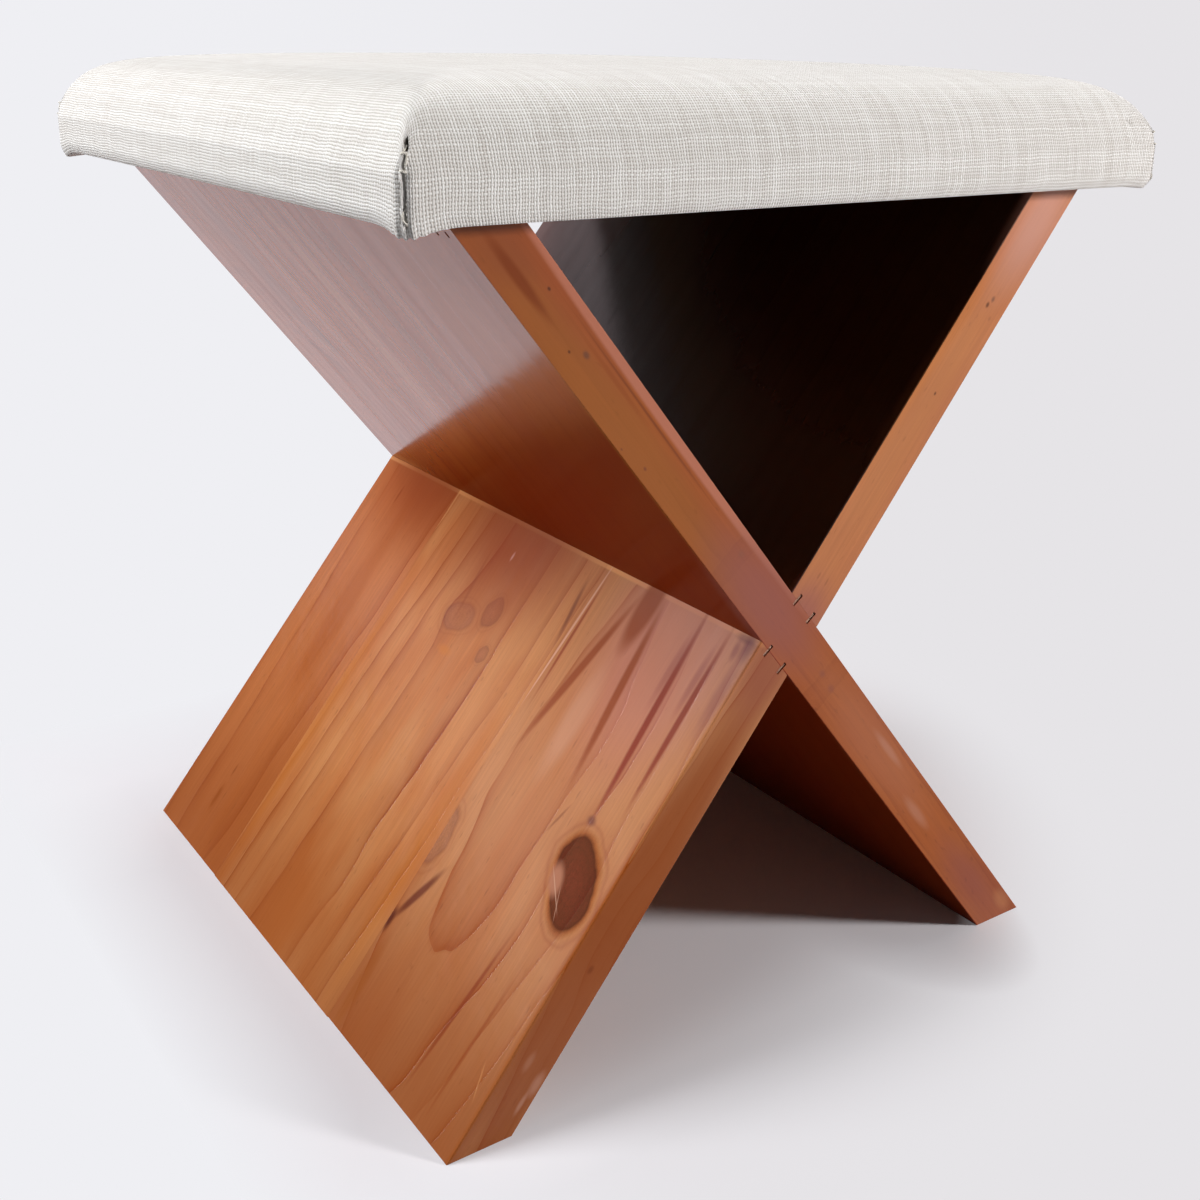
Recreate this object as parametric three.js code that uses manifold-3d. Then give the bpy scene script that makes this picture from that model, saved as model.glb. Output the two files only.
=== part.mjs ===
// An X frame stool: two pine panels crossing in an X, and an upholstered seat on their upper ends.
// Millimetres. +Z is up, -Y is the front, and the origin is on the floor under the middle.
import * as THREE from "three";
import { mergeVertices } from "three/addons/utils/BufferGeometryUtils.js";
import Module from "manifold-3d";

const wasm = await Module();
wasm.setup();

// Frame: the X of two panels, seen from the front
const seatUnderside = 400; // from the floor to the cloth under the seat
const boardThickness = 25.4; // planed pine
const edgeInset = 21.6; // from the seat's front or rear in to the panels' edges
const sideInset = 43.8; // from the seat's side in to a panel's centre line, at the seat
const footSpread = 8.8; // how much further out that centre line is at the floor

// Boards that each panel is edge-glued from, as shares of its depth
const boardPlaces = ["rear", "middle", "front"];
const throughShares = [0.237, 0.355, 0.408];
const cutShares = [0.245, 0.423, 0.332];

// Gaps between pieces that touch or are glued
const glueLine = 0.3;
const restGap = 0.3; // between the panels' ends and the cloth
const fastenerClearance = 0.3;
const layerGap = 0.3; // between the layers of the seat
const overrun = 4; // how far a cut runs out of the surface

// Dowels through the crossing
const dowelCount = 4;
const dowelDiameter = 10;
const dowelLength = 76;
const dowelInset = 45; // from the front and rear edges to the outer dowels
const dowelSides = 16;

// Staples across the butt joints, in the front and rear edges
const jointStaple = { crown: 5.7, leg: 10, wire: 0.9, width: 1.2 };
const jointStapleSink = 0.6; // below the edge's face
const jointStapleShares = [0.23, 0.75]; // along the butt line, from its left end

// Flat-wire brads up through the panels' outer faces into the seat board
const brad = { head: 2.2, headHeight: 0.8, shank: 1.2, wire: 0.8, length: 20, point: 2 };
const bradDrop = 7; // down the panel's face, from its top edge
const bradSink = 1; // below the face
const bradTilt = THREE.MathUtils.degToRad(30); // from upright
const bradInsets = [6.5, 14.5]; // from the front or rear edge

// Seat: overall size of the cushion over its cloth
const seatWidth = 398.8;
const seatDepth = 414.7;
const drawnIn = 1.5; // how far the sides pull in between the corners
const cornerRadius = 6;
const rimAboveBoard = 2; // the side stays upright to here, and rolls over above it
const rollRise = 27; // the quick rise of the rolled edge
const rollReach = 9;
const crownRise = 10; // the slow rise towards the middle
const crownReach = 60;
const cornerBlend = 6; // how sharply the rolled edges of two sides meet at a corner
const underRoll = 2.2; // rounding of the lower edge
const cornerSag = 3; // the folded cloth hangs below the corners
const cornerSagReach = 13;
const underFlat = 20; // in from the edge, where the underside turns flat

// Seat: layers from the outside in
const clothThickness = 1.2;
const clothMargin = 62; // turned under the seat board
const waddingThickness = 4;
const seatBoardThickness = 15;
const seatBoardCorner = 4;

// Staples that hold the turned-under cloth
const coverStaple = { crown: 10, leg: 8, wire: 0.7, width: 0.9 };
const coverStaplesPerSide = 5;
const coverStapleInset = 13; // from the seat's edge
const coverStapleEnd = 40; // from the corner to the first staple

// Hand stitching that closes the cloth at each corner
const seamBottom = 2;
const seamTop = 28;
const seamWidth = 3;
const stitchTurns = 5;
const stitchReach = 0.6; // past each edge of the seam
const threadDiameter = 0.7;
const threadSides = 5;
const threadStepsPerTurn = 8;
const threadTension = 0.2; // low, so that each stitch runs nearly straight

// How finely the cushion's surface is divided; a ring share is its distance in from the rim
const sideSteps = 6;
const cornerSteps = 3;
const ringShares = [0, 0.012, 0.03, 0.06, 0.11, 0.2, 0.38, 0.65];
const skirtShares = [0.06, 0.35, 0.8]; // heights up the upright side

const pine = new THREE.MeshStandardMaterial({ color: 0xb5693c, roughness: 0.25 });
const beech = new THREE.MeshStandardMaterial({ color: 0xd9b98a, roughness: 0.6 });
const plywood = new THREE.MeshStandardMaterial({ color: 0xd8bd92, roughness: 0.7 });
const linen = new THREE.MeshStandardMaterial({ color: 0xdcd8cf, roughness: 0.95 });
const thread = new THREE.MeshStandardMaterial({ color: 0xe9e4d8, roughness: 0.9 });
const foam = new THREE.MeshStandardMaterial({ color: 0xe8dfb8, roughness: 1 });
const wadding = new THREE.MeshStandardMaterial({ color: 0xf4f4f2, roughness: 1 });
const steel = new THREE.MeshStandardMaterial({ color: 0xa9a9a6, roughness: 0.35, metalness: 1 });

// A closed geometry as a solid that can be cut, and back again
function solidOf(geometry) {
  const bare = geometry.clone();
  bare.deleteAttribute("normal");
  bare.deleteAttribute("uv");
  const merged = mergeVertices(bare);
  const mesh = new wasm.Mesh({
    numProp: 3,
    vertProperties: new Float32Array(merged.attributes.position.array),
    triVerts: new Uint32Array(merged.index.array),
  });
  return new wasm.Manifold(mesh);
}

function geometryOf(solid) {
  const mesh = solid.getMesh();
  const geometry = new THREE.BufferGeometry();
  geometry.setAttribute("position", new THREE.BufferAttribute(mesh.vertProperties, mesh.numProp));
  geometry.setIndex(new THREE.BufferAttribute(mesh.triVerts, 1));
  const faceted = geometry.toNonIndexed();
  faceted.computeVertexNormals();
  return faceted;
}

function named(name, geometry, material) {
  const mesh = new THREE.Mesh(geometry, material);
  mesh.name = name;
  return mesh;
}

// Cuts geometries that stand in the stool's frame out of a mesh, wherever its group puts it
function carve(mesh, cutters) {
  mesh.updateWorldMatrix(true, false);
  const toMesh = mesh.matrixWorld.clone().invert();
  let solid = solidOf(mesh.geometry);
  for (const cutter of cutters) {
    solid = solid.subtract(solidOf(cutter.clone().applyMatrix4(toMesh)));
  }
  mesh.geometry = geometryOf(solid);
}

// The cutter for a fastener: its own shape made larger, in the stool's frame
function cutterFor(mesh, geometry) {
  mesh.updateWorldMatrix(true, false);
  return geometry.clone().applyMatrix4(mesh.matrixWorld);
}

// Frame geometry, seen from the front: the through panel runs from top left to bottom right
const frameDepth = seatDepth - 2 * edgeInset;
const topHalfSpan = seatWidth / 2 - sideInset; // from the middle to a panel's centre line
const footHalfSpan = topHalfSpan + footSpread;
const spanAcross = topHalfSpan + footHalfSpan;
const panelLength = Math.hypot(spanAcross, seatUnderside);
const levelWidth = (boardThickness * panelLength) / seatUnderside; // of a panel, cut level
const levelGlueLine = (glueLine * panelLength) / seatUnderside;
const frameTop = seatUnderside - restGap;
const alongThrough = new THREE.Vector3(spanAcross, 0, -seatUnderside).normalize();
const alongCut = new THREE.Vector3(spanAcross, 0, seatUnderside).normalize();

// The through panel's centre line: where it is at a height, and at what height it is there.
// The cut panel is its mirror image.
const centreAt = (height) => -topHalfSpan + spanAcross * (1 - height / seatUnderside);
const heightAt = (centre) => seatUnderside * (1 - (centre + topHalfSpan) / spanAcross);
const crossingHeight = heightAt(0);

function throughOutline() {
  const half = levelWidth / 2;
  return [
    [centreAt(frameTop) - half, frameTop],
    [centreAt(0) - half, 0],
    [centreAt(0) + half, 0],
    [centreAt(frameTop) + half, frameTop],
  ];
}

// The butt line between the through panel and half of the cut panel: side 1 above, -1 below
function buttLine(side) {
  const inner = (-side * (levelGlueLine + levelWidth)) / 2;
  const outer = (-side * levelGlueLine) / 2;
  return [
    [(side * levelGlueLine) / 2, heightAt(inner)],
    [(side * (levelGlueLine + levelWidth)) / 2, heightAt(outer)],
  ];
}

function cutOutline(side) {
  const half = levelWidth / 2;
  const end = side > 0 ? frameTop : 0;
  const middle = -centreAt(end);
  const [near, far] = buttLine(side);
  return [near, far, [middle + side * half, end], [middle - side * half, end]];
}

// A board is an outline in the plane of the X, extruded to its width along Y
function board(name, outline, rear, width) {
  const shape = new THREE.Shape(outline.map(([x, z]) => new THREE.Vector2(x, z)));
  const geometry = new THREE.ExtrudeGeometry(shape, { depth: width, bevelEnabled: false });
  const mesh = named(name, geometry, pine);
  mesh.rotation.x = Math.PI / 2;
  mesh.position.y = rear;
  return mesh;
}

// A panel glued from three boards
function panel(name, outline, shares) {
  const boards = [];
  let rear = frameDepth / 2;
  for (const [i, place] of boardPlaces.entries()) {
    const width = shares[i] * frameDepth;
    const shrink = place === "front" ? 0 : glueLine;
    boards.push(board(`${name}_board_${place}`, outline, rear, width - shrink));
    rear -= width;
  }
  return boards;
}

// Turns a mesh so that its local X and Y axes point across and along
function orient(mesh, across, along) {
  const basis = new THREE.Matrix4();
  basis.makeBasis(across, along, new THREE.Vector3().crossVectors(across, along));
  mesh.quaternion.setFromRotationMatrix(basis);
}

// The direction square to another one, in the plane of the X
const squareTo = (direction) => new THREE.Vector3(-direction.z, 0, direction.x);

function dowelGeometry(clearance) {
  const radius = dowelDiameter / 2 + clearance;
  return new THREE.CylinderGeometry(radius, radius, dowelLength + 2 * clearance, dowelSides);
}

function crossingDowels() {
  const pitch = (frameDepth - 2 * dowelInset) / (dowelCount - 1);
  return Array.from({ length: dowelCount }, (_, i) => {
    const mesh = named(`crossing_dowel_${i + 1}`, dowelGeometry(0), beech);
    orient(mesh, squareTo(alongCut), alongCut);
    mesh.position.set(0, dowelInset - frameDepth / 2 + i * pitch, crossingHeight);
    return mesh;
  });
}

// A staple lies with its crown along X at y = 0 and its legs towards -Y
function stapleGeometry(size, clearance = 0, out = 0) {
  const half = size.crown / 2 + clearance;
  const inner = size.crown / 2 - size.wire - clearance;
  const tip = -size.leg - clearance;
  const shape = new THREE.Shape([
    new THREE.Vector2(-half, tip),
    new THREE.Vector2(-inner, tip),
    new THREE.Vector2(-inner, -size.wire - clearance),
    new THREE.Vector2(inner, -size.wire - clearance),
    new THREE.Vector2(inner, tip),
    new THREE.Vector2(half, tip),
    new THREE.Vector2(half, out),
    new THREE.Vector2(-half, out),
  ]);
  const depth = size.width + 2 * clearance;
  const geometry = new THREE.ExtrudeGeometry(shape, { depth, bevelEnabled: false });
  return geometry.translate(0, 0, -depth / 2);
}

// Staples in the front and rear edges, each crown square across its butt line
function crossingStaples() {
  const staples = [];
  for (const [place, face] of [["front", -1], ["rear", 1]]) {
    for (const [s, side] of [1, -1].entries()) {
      const [near, far] = buttLine(side);
      for (const [i, share] of jointStapleShares.entries()) {
        const number = s * jointStapleShares.length + i + 1;
        const name = `crossing_staple_${place}_${number}`;
        const mesh = named(name, stapleGeometry(jointStaple), steel);
        orient(mesh, squareTo(alongThrough), new THREE.Vector3(0, face, 0));
        mesh.position.set(
          THREE.MathUtils.lerp(near[0], far[0], share),
          face * (frameDepth / 2 - jointStapleSink),
          THREE.MathUtils.lerp(near[1], far[1], share),
        );
        staples.push(mesh);
      }
    }
  }
  return staples;
}

// A brad lies along Y with its head at y = 0; the head is wider than the shank along X
function bradGeometry() {
  const right = [
    [brad.head / 2, 0],
    [brad.head / 2, brad.headHeight],
    [brad.shank / 2, brad.headHeight],
    [brad.shank / 2, brad.length - brad.point],
  ];
  const left = right.map(([x, y]) => [-x, y]).reverse();
  const outline = [...right, [0, brad.length], ...left];
  const shape = new THREE.Shape(outline.map(([x, y]) => new THREE.Vector2(x, y)));
  const geometry = new THREE.ExtrudeGeometry(shape, { depth: brad.wire, bevelEnabled: false });
  return geometry.translate(0, 0, -brad.wire / 2);
}

function bradHole() {
  const length = brad.length + fastenerClearance + overrun;
  const hole = new THREE.BoxGeometry(
    brad.head + 2 * fastenerClearance,
    length,
    brad.wire + 2 * fastenerClearance,
  );
  return hole.translate(0, length / 2 - overrun, 0);
}

function seatBrads() {
  const brads = [];
  for (const [sideName, side] of [["left", -1], ["right", 1]]) {
    for (const [placeName, place] of [["front", -1], ["rear", 1]]) {
      for (const [i, inset] of bradInsets.entries()) {
        const name = `seat_brad_${placeName}_${sideName}_${i + 1}`;
        const mesh = named(name, bradGeometry(), steel);
        const direction = new THREE.Vector3(-side * Math.sin(bradTilt), 0, Math.cos(bradTilt));
        orient(mesh, squareTo(direction), direction);
        const edge = centreAt(frameTop) - levelWidth / 2;
        mesh.position
          .set(-side * (edge + bradDrop * alongThrough.x), 0, frameTop + bradDrop * alongThrough.z)
          .addScaledVector(direction, bradSink);
        mesh.position.y = place * (frameDepth / 2 - inset);
        brads.push(mesh);
      }
    }
  }
  return brads;
}

// Depths below the cloth's surface at which each layer starts, and heights above the underside
const waddingInset = clothThickness + layerGap;
const coreInset = waddingInset + waddingThickness + layerGap;
const boardFloor = clothThickness + layerGap;
const foamFloor = boardFloor + seatBoardThickness + layerGap;
const rimHeight = boardFloor + seatBoardThickness + rimAboveBoard;

// Distance in from the rim, blended so that the rolled edge turns the corner without a crease
function reachIn(x, y, halfX, halfY) {
  const inX = Math.max(0, halfX - drawnIn * (1 - (y / halfY) ** 2) - Math.abs(x));
  const inY = Math.max(0, halfY - drawnIn * (1 - (x / halfX) ** 2) - Math.abs(y));
  if (inX * inY === 0) return 0;
  return (inX ** -cornerBlend + inY ** -cornerBlend) ** (-1 / cornerBlend);
}

const riseAt = (reach) =>
  rollRise * (1 - Math.exp(-reach / rollReach)) + crownRise * (1 - Math.exp(-reach / crownReach));

// The cushion's plan: corners rounded, sides drawn in between them, counterclockwise
function planPoints(halfX, halfY) {
  const corners = [[1, 1], [-1, 1], [-1, -1], [1, -1]];
  const arcs = corners.map(([sx, sy], q) =>
    Array.from({ length: cornerSteps + 1 }, (_, i) => {
      const angle = ((q + i / cornerSteps) * Math.PI) / 2;
      return new THREE.Vector2(
        sx * (halfX - cornerRadius) + cornerRadius * Math.cos(angle),
        sy * (halfY - cornerRadius) + cornerRadius * Math.sin(angle),
      );
    }),
  );
  const points = [];
  for (const [q, arc] of arcs.entries()) {
    points.push(...arc);
    const from = arc[cornerSteps];
    const to = arcs[(q + 1) % arcs.length][0];
    for (let i = 1; i < sideSteps; i++) {
      const share = i / sideSteps;
      const point = from.clone().lerp(to, share);
      const pull = drawnIn * (1 - (2 * share - 1) ** 2);
      if (q % 2 === 0) point.y -= Math.sign(point.y) * pull;
      else point.x -= Math.sign(point.x) * pull;
      points.push(point);
    }
  }
  return points;
}

// A closed body from rings of equal length, bottom to top, each end closed by a fan
function lofted(rings, bottom, top) {
  const count = rings[0].length;
  const vertices = [...rings.flat(), bottom, top];
  const positions = new Float32Array(vertices.flatMap((v) => [v.x, v.y, v.z]));
  const bottomIndex = rings.length * count;
  const faces = [];
  for (let i = 0; i < count; i++) {
    const next = (i + 1) % count;
    faces.push(bottomIndex, next, i);
    for (let k = 0; k + 1 < rings.length; k++) {
      const a = k * count;
      const b = a + count;
      faces.push(a + i, a + next, b + next, a + i, b + next, b + i);
    }
    const last = (rings.length - 1) * count;
    faces.push(last + i, last + next, bottomIndex + 1);
  }
  const geometry = new THREE.BufferGeometry();
  geometry.setAttribute("position", new THREE.BufferAttribute(positions, 3));
  geometry.setIndex(faces);
  return geometry.toNonIndexed();
}

// The cushion's form at a depth below its surface, closed by a flat floor
function cushionForm(inset, floor) {
  const halfX = seatWidth / 2 - inset;
  const halfY = seatDepth / 2 - inset;
  const plan = planPoints(halfX, halfY);
  const surfaceAt = (x, y) =>
    rimHeight - inset + riseAt(reachIn(x, y, halfX, halfY) + inset / 2);
  const ringAt = (scale, height) =>
    plan.map((p) => new THREE.Vector3(p.x * scale, p.y * scale, height(p.x * scale, p.y * scale)));
  const rings = [ringAt(1, () => floor)];
  for (const share of ringShares) {
    rings.push(ringAt(1 - share, surfaceAt));
  }
  const peak = surfaceAt(0, 0);
  return lofted(rings, new THREE.Vector3(0, 0, floor), new THREE.Vector3(0, 0, peak));
}

// The outside of the cover: the same form with its lower edge rounded and its corners sagging
function coverForm() {
  const halfX = seatWidth / 2;
  const halfY = seatDepth / 2;
  const plan = planPoints(halfX, halfY);
  const sagAt = (p) => {
    const distance = Math.hypot(halfX - Math.abs(p.x), halfY - Math.abs(p.y));
    return cornerSag * Math.exp(-((distance / cornerSagReach) ** 2));
  };
  const skirtRing = (height, inset) =>
    plan.map((p) => {
      const pulled = new THREE.Vector2(p.x - Math.sign(p.x) * inset, p.y - Math.sign(p.y) * inset);
      return new THREE.Vector3(pulled.x, pulled.y, height - sagAt(p) * (1 - height / rimHeight));
    });
  const scaled = (scale) =>
    plan.map((p) => {
      const x = p.x * scale;
      const y = p.y * scale;
      return new THREE.Vector3(x, y, rimHeight + riseAt(reachIn(x, y, halfX, halfY)));
    });
  const flatScale = new THREE.Vector2(1 - underFlat / halfX, 1 - underFlat / halfY);
  const rings = [
    plan.map((p) => new THREE.Vector3(p.x * flatScale.x, p.y * flatScale.y, 0)),
    skirtRing(0, underRoll),
    ...skirtShares.map((share) => skirtRing(share * rimHeight, underRoll * (1 - share) ** 2 / 2)),
    ...ringShares.map((share) => scaled(1 - share)),
  ];
  const peak = rimHeight + riseAt(reachIn(0, 0, halfX, halfY));
  return lofted(rings, new THREE.Vector3(0, 0, 0), new THREE.Vector3(0, 0, peak));
}

function seatCover() {
  const window = new THREE.BoxGeometry(
    seatWidth - 2 * clothMargin,
    seatDepth - 2 * clothMargin,
    2 * overrun,
  );
  const inside = solidOf(cushionForm(clothThickness, clothThickness));
  const shell = solidOf(coverForm()).subtract(inside).subtract(solidOf(window));
  return named("seat_cover", geometryOf(shell), linen);
}

function seatWadding() {
  const outer = solidOf(cushionForm(waddingInset, boardFloor));
  const inner = solidOf(cushionForm(waddingInset + waddingThickness, boardFloor - overrun));
  return named("seat_wadding", geometryOf(outer.subtract(inner)), wadding);
}

function foamPad() {
  return named("foam_pad", cushionForm(coreInset, foamFloor), foam);
}

function seatBoard() {
  const halfX = seatWidth / 2 - coreInset - drawnIn;
  const halfY = seatDepth / 2 - coreInset - drawnIn;
  const r = seatBoardCorner;
  const shape = new THREE.Shape();
  shape.absarc(halfX - r, halfY - r, r, 0, Math.PI / 2);
  shape.absarc(-halfX + r, halfY - r, r, Math.PI / 2, Math.PI);
  shape.absarc(-halfX + r, -halfY + r, r, Math.PI, 1.5 * Math.PI);
  shape.absarc(halfX - r, -halfY + r, r, 1.5 * Math.PI, 2 * Math.PI);
  const options = { depth: seatBoardThickness, bevelEnabled: false, curveSegments: cornerSteps };
  const mesh = named("seat_board", new THREE.ExtrudeGeometry(shape, options), plywood);
  mesh.position.z = boardFloor;
  return mesh;
}

// Staples through the turned-under cloth, with their legs up and their crowns along the edge
function coverStaples() {
  const sides = [
    { name: "front", turn: 0, out: seatDepth / 2, along: seatWidth / 2 },
    { name: "right", turn: Math.PI / 2, out: seatWidth / 2, along: seatDepth / 2 },
    { name: "rear", turn: Math.PI, out: seatDepth / 2, along: seatWidth / 2 },
    { name: "left", turn: -Math.PI / 2, out: seatWidth / 2, along: seatDepth / 2 },
  ];
  const staples = [];
  for (const { name, turn, out, along } of sides) {
    const pitch = (2 * (along - coverStapleEnd)) / (coverStaplesPerSide - 1);
    for (let i = 0; i < coverStaplesPerSide; i++) {
      const mesh = named(`cover_staple_${name}_${i + 1}`, stapleGeometry(coverStaple), steel);
      mesh.rotation.x = -Math.PI / 2;
      mesh.position.set(
        coverStapleEnd - along + i * pitch,
        coverStapleInset - out,
        -coverStaple.wire - fastenerClearance,
      );
      const side = new THREE.Group();
      side.rotation.z = turn;
      side.add(mesh);
      staples.push({ side, mesh });
    }
  }
  return staples;
}

// The seam at a corner: the slot where the cloth's folded edges meet, seen along the diagonal
function cornerFrame(sx, sy) {
  const group = new THREE.Group();
  group.position.set(sx * (seatWidth / 2), sy * (seatDepth / 2), 0);
  group.rotation.z = Math.atan2(sy, sx);
  return group;
}

// How far the rounded corner stands back from the square one, along the diagonal
const cornerBack = cornerRadius * (Math.SQRT2 - 1);

function seamCutter() {
  const depth = clothThickness + layerGap / 2;
  const box = new THREE.BoxGeometry(depth + overrun, seamWidth, seamTop - seamBottom);
  return box.translate((overrun - depth) / 2 - cornerBack, 0, (seamTop + seamBottom) / 2);
}

// One thread, back and forth across the seam as it climbs
function cornerStitch(name) {
  const half = seamWidth / 2 + stitchReach;
  const out = threadDiameter / 2 + layerGap - cornerBack;
  const points = Array.from({ length: 2 * stitchTurns + 1 }, (_, i) => {
    const height = THREE.MathUtils.lerp(seamBottom, seamTop, i / (2 * stitchTurns));
    return new THREE.Vector3(out, i % 2 === 0 ? half : -half, height);
  });
  const path = new THREE.CatmullRomCurve3(points, false, "catmullrom", threadTension);
  const section = new THREE.Shape();
  for (let i = 0; i < threadSides; i++) {
    const angle = (2 * Math.PI * i) / threadSides;
    const x = (threadDiameter / 2) * Math.cos(angle);
    const y = (threadDiameter / 2) * Math.sin(angle);
    if (i === 0) section.moveTo(x, y);
    else section.lineTo(x, y);
  }
  const steps = threadStepsPerTurn * stitchTurns;
  const options = { steps, extrudePath: path, bevelEnabled: false };
  return named(name, new THREE.ExtrudeGeometry(section, options), thread);
}

const stool = new THREE.Group();
const frame = new THREE.Group();
const seat = new THREE.Group();
seat.position.z = seatUnderside;
stool.add(frame, seat);

const throughBoards = panel("through", throughOutline(), throughShares);
const upperBoards = panel("upper", cutOutline(1), cutShares);
const lowerBoards = panel("lower", cutOutline(-1), cutShares);
const dowels = crossingDowels();
const jointStaples = crossingStaples();
const brads = seatBrads();
frame.add(...throughBoards, ...upperBoards, ...lowerBoards, ...dowels, ...jointStaples, ...brads);

const plyBoard = seatBoard();
const cover = seatCover();
const pinned = coverStaples();
seat.add(plyBoard, foamPad(), seatWadding(), cover, ...pinned.map(({ side }) => side));

const seams = [];
for (const [place, sy] of [["front", -1], ["rear", 1]]) {
  for (const [sideName, sx] of [["left", -1], ["right", 1]]) {
    const corner = cornerFrame(sx, sy);
    corner.add(cornerStitch(`corner_stitch_${place}_${sideName}`));
    seat.add(corner);
    seams.push(cutterFor(corner, seamCutter()));
  }
}

const dowelHoles = dowels.map((mesh) => cutterFor(mesh, dowelGeometry(fastenerClearance)));
const jointSlots = jointStaples.map((mesh) =>
  cutterFor(mesh, stapleGeometry(jointStaple, fastenerClearance, overrun)),
);
const bradHoles = brads.map((mesh) => cutterFor(mesh, bradHole()));
const pinHoles = pinned.map(({ mesh }) =>
  cutterFor(mesh, stapleGeometry(coverStaple, fastenerClearance, overrun)),
);
for (const mesh of [...throughBoards, ...upperBoards, ...lowerBoards]) {
  carve(mesh, [...dowelHoles, ...jointSlots, ...bradHoles]);
}
carve(plyBoard, [...bradHoles, ...pinHoles]);
carve(cover, [...bradHoles, ...pinHoles, ...seams]);

export default stool;
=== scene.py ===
"""An X frame stool: lacquered pine panels that cross in an X under a square linen-covered seat.

Everything is placed in the CAD model's frame: +Z up, -Y the front, the origin on the floor
under the middle. Sizes are written in millimetres and turned to metres where a mesh is made.
"""

import logging
import math
from dataclasses import dataclass
from enum import Enum

import bmesh
import bpy
import numpy as np
from mathutils import Matrix, Vector
from mathutils.bvhtree import BVHTree
from mathutils.kdtree import KDTree


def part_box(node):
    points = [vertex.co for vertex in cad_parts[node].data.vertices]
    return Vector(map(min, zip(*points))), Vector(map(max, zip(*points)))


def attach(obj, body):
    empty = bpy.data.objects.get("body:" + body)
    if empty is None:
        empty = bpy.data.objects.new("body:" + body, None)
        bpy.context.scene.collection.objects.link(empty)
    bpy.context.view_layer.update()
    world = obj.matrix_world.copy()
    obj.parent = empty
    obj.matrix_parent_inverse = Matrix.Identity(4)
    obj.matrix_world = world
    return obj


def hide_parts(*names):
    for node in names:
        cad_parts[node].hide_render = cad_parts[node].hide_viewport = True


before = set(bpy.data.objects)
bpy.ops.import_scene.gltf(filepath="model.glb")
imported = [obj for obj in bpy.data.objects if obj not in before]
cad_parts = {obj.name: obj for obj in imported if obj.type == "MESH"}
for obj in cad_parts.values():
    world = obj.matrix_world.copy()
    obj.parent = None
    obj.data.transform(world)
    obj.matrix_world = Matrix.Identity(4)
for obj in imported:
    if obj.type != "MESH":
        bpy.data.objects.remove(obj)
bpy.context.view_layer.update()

MM = 0.001
PANEL_DEPTH = 371.5
BOARD_THICKNESS = 25.4
log = logging.getLogger("stool")
Colour = tuple[float, float, float, float]
Triple = tuple[float, float, float]
Socket = bpy.types.NodeSocket

# A Mix node's inputs by number, because its values and its colours share their names
FACTOR, FIRST_VALUE, SECOND_VALUE, FIRST, SECOND = 0, 2, 3, 6, 7
COLOURS = {"data_type": "RGBA", "out": 2}
SMOOTH = {"interpolation_type": "SMOOTHSTEP"}
NO_MOVE = (0, 0, 0)
NOISE_MIDDLE = (0.5, 0.5, 0.5)


def linear(code: str) -> Colour:
    """Turns an sRGB colour to linear light.

    Args:
        code: The colour as six hex digits after a hash.

    Returns:
        Red, green, blue and an alpha of 1.
    """
    channels = [int(code[i : i + 2], 16) / 255 for i in (1, 3, 5)]
    return (*[c / 12.92 if c <= 0.04045 else ((c + 0.055) / 1.055) ** 2.4 for c in channels], 1.0)


class Net:
    """The node tree of one material or world while it is written."""

    def __init__(self, owner: bpy.types.Material | bpy.types.World) -> None:
        """Starts from an empty tree.

        Args:
            owner: The material or world that the tree belongs to.
        """
        owner.use_nodes = True
        self.tree = owner.node_tree
        self.tree.nodes.clear()

    def add(
        self,
        kind: str,
        *inputs: object,
        at: dict | None = None,
        out: int | str = 0,
        ramp: tuple = (),
        **settings: object,
    ) -> Socket:
        """Adds a node with its settings and its links.

        Args:
            kind: The node's type, without ShaderNode.
            inputs: A socket to link, a value to set or None to leave alone, in the node's order.
            at: The same, by the input's name or number.
            out: The output to return.
            ramp: A colour ramp's stops, as (place, hex colour) or (place, hex colour, alpha).
            settings: The node's own properties.

        Returns:
            The chosen output, or the node's first input where it has no output.
        """
        node = self.tree.nodes.new("ShaderNode" + kind)
        for name, value in settings.items():
            setattr(node, name, value)
        for place, value in {**dict(enumerate(inputs)), **(at or {})}.items():
            if isinstance(value, Socket):
                self.tree.links.new(value, node.inputs[place])
            elif value is not None:
                node.inputs[place].default_value = value
        for i, (place, code, *alpha) in enumerate(ramp):
            stops = node.color_ramp.elements
            stop = stops[i] if i < len(stops) else stops.new(place)
            stop.position = place
            stop.color = (*linear(code)[:3], alpha[0] if alpha else 1.0)
        return node.outputs[out] if node.outputs else node.inputs[0]


class Heart(Enum):
    """What a knot shows inside: its colours from the middle out to the rim."""

    SOUND = ("#5E1A14", "#56160F", "#4C120B", "#4A140B")
    SMALL = ("#9A5230", "#8E4826", "#7C3A1C", "#6A2E14")
    SMEAR = ("#94583C", "#9A5C3A", "#8A5038", "#7E4028")


@dataclass(frozen=True)
class Knot:
    """The round end of a branch in a board, with the grain bending round it."""

    along: float
    deep: float
    half_along: float
    half_deep: float
    turn: float = 0.0
    strength: float = 1.0
    bend: float = 0.75
    heart: Heart = Heart.SMALL


@dataclass(frozen=True)
class Mark:
    """A soft-edged streak, stain or dent in a board's face or edge, or a painted shade, highlight or
    reflection there.

    Its strength is full out to its core, a share of its half sizes, and fades from there.
    """

    along: float
    deep: float
    across: float
    half: Triple
    colour: str
    strength: float
    turn: float = 0.0
    core: float = 0.2


@dataclass(frozen=True)
class Growth:
    """How a board lay in its log, which sets the figure on its faces.

    The pith is a line behind the board's outer face. Its depth follows a parabola along the
    board, so a ring that the saw cut twice closes into an island.
    """

    centre: float
    drift: float
    depth: float
    taper: float = 0.0
    bow: float = 0.0
    bow_from: float = 0.0
    spacing: float = 8.8
    phase: float = 0.0


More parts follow.
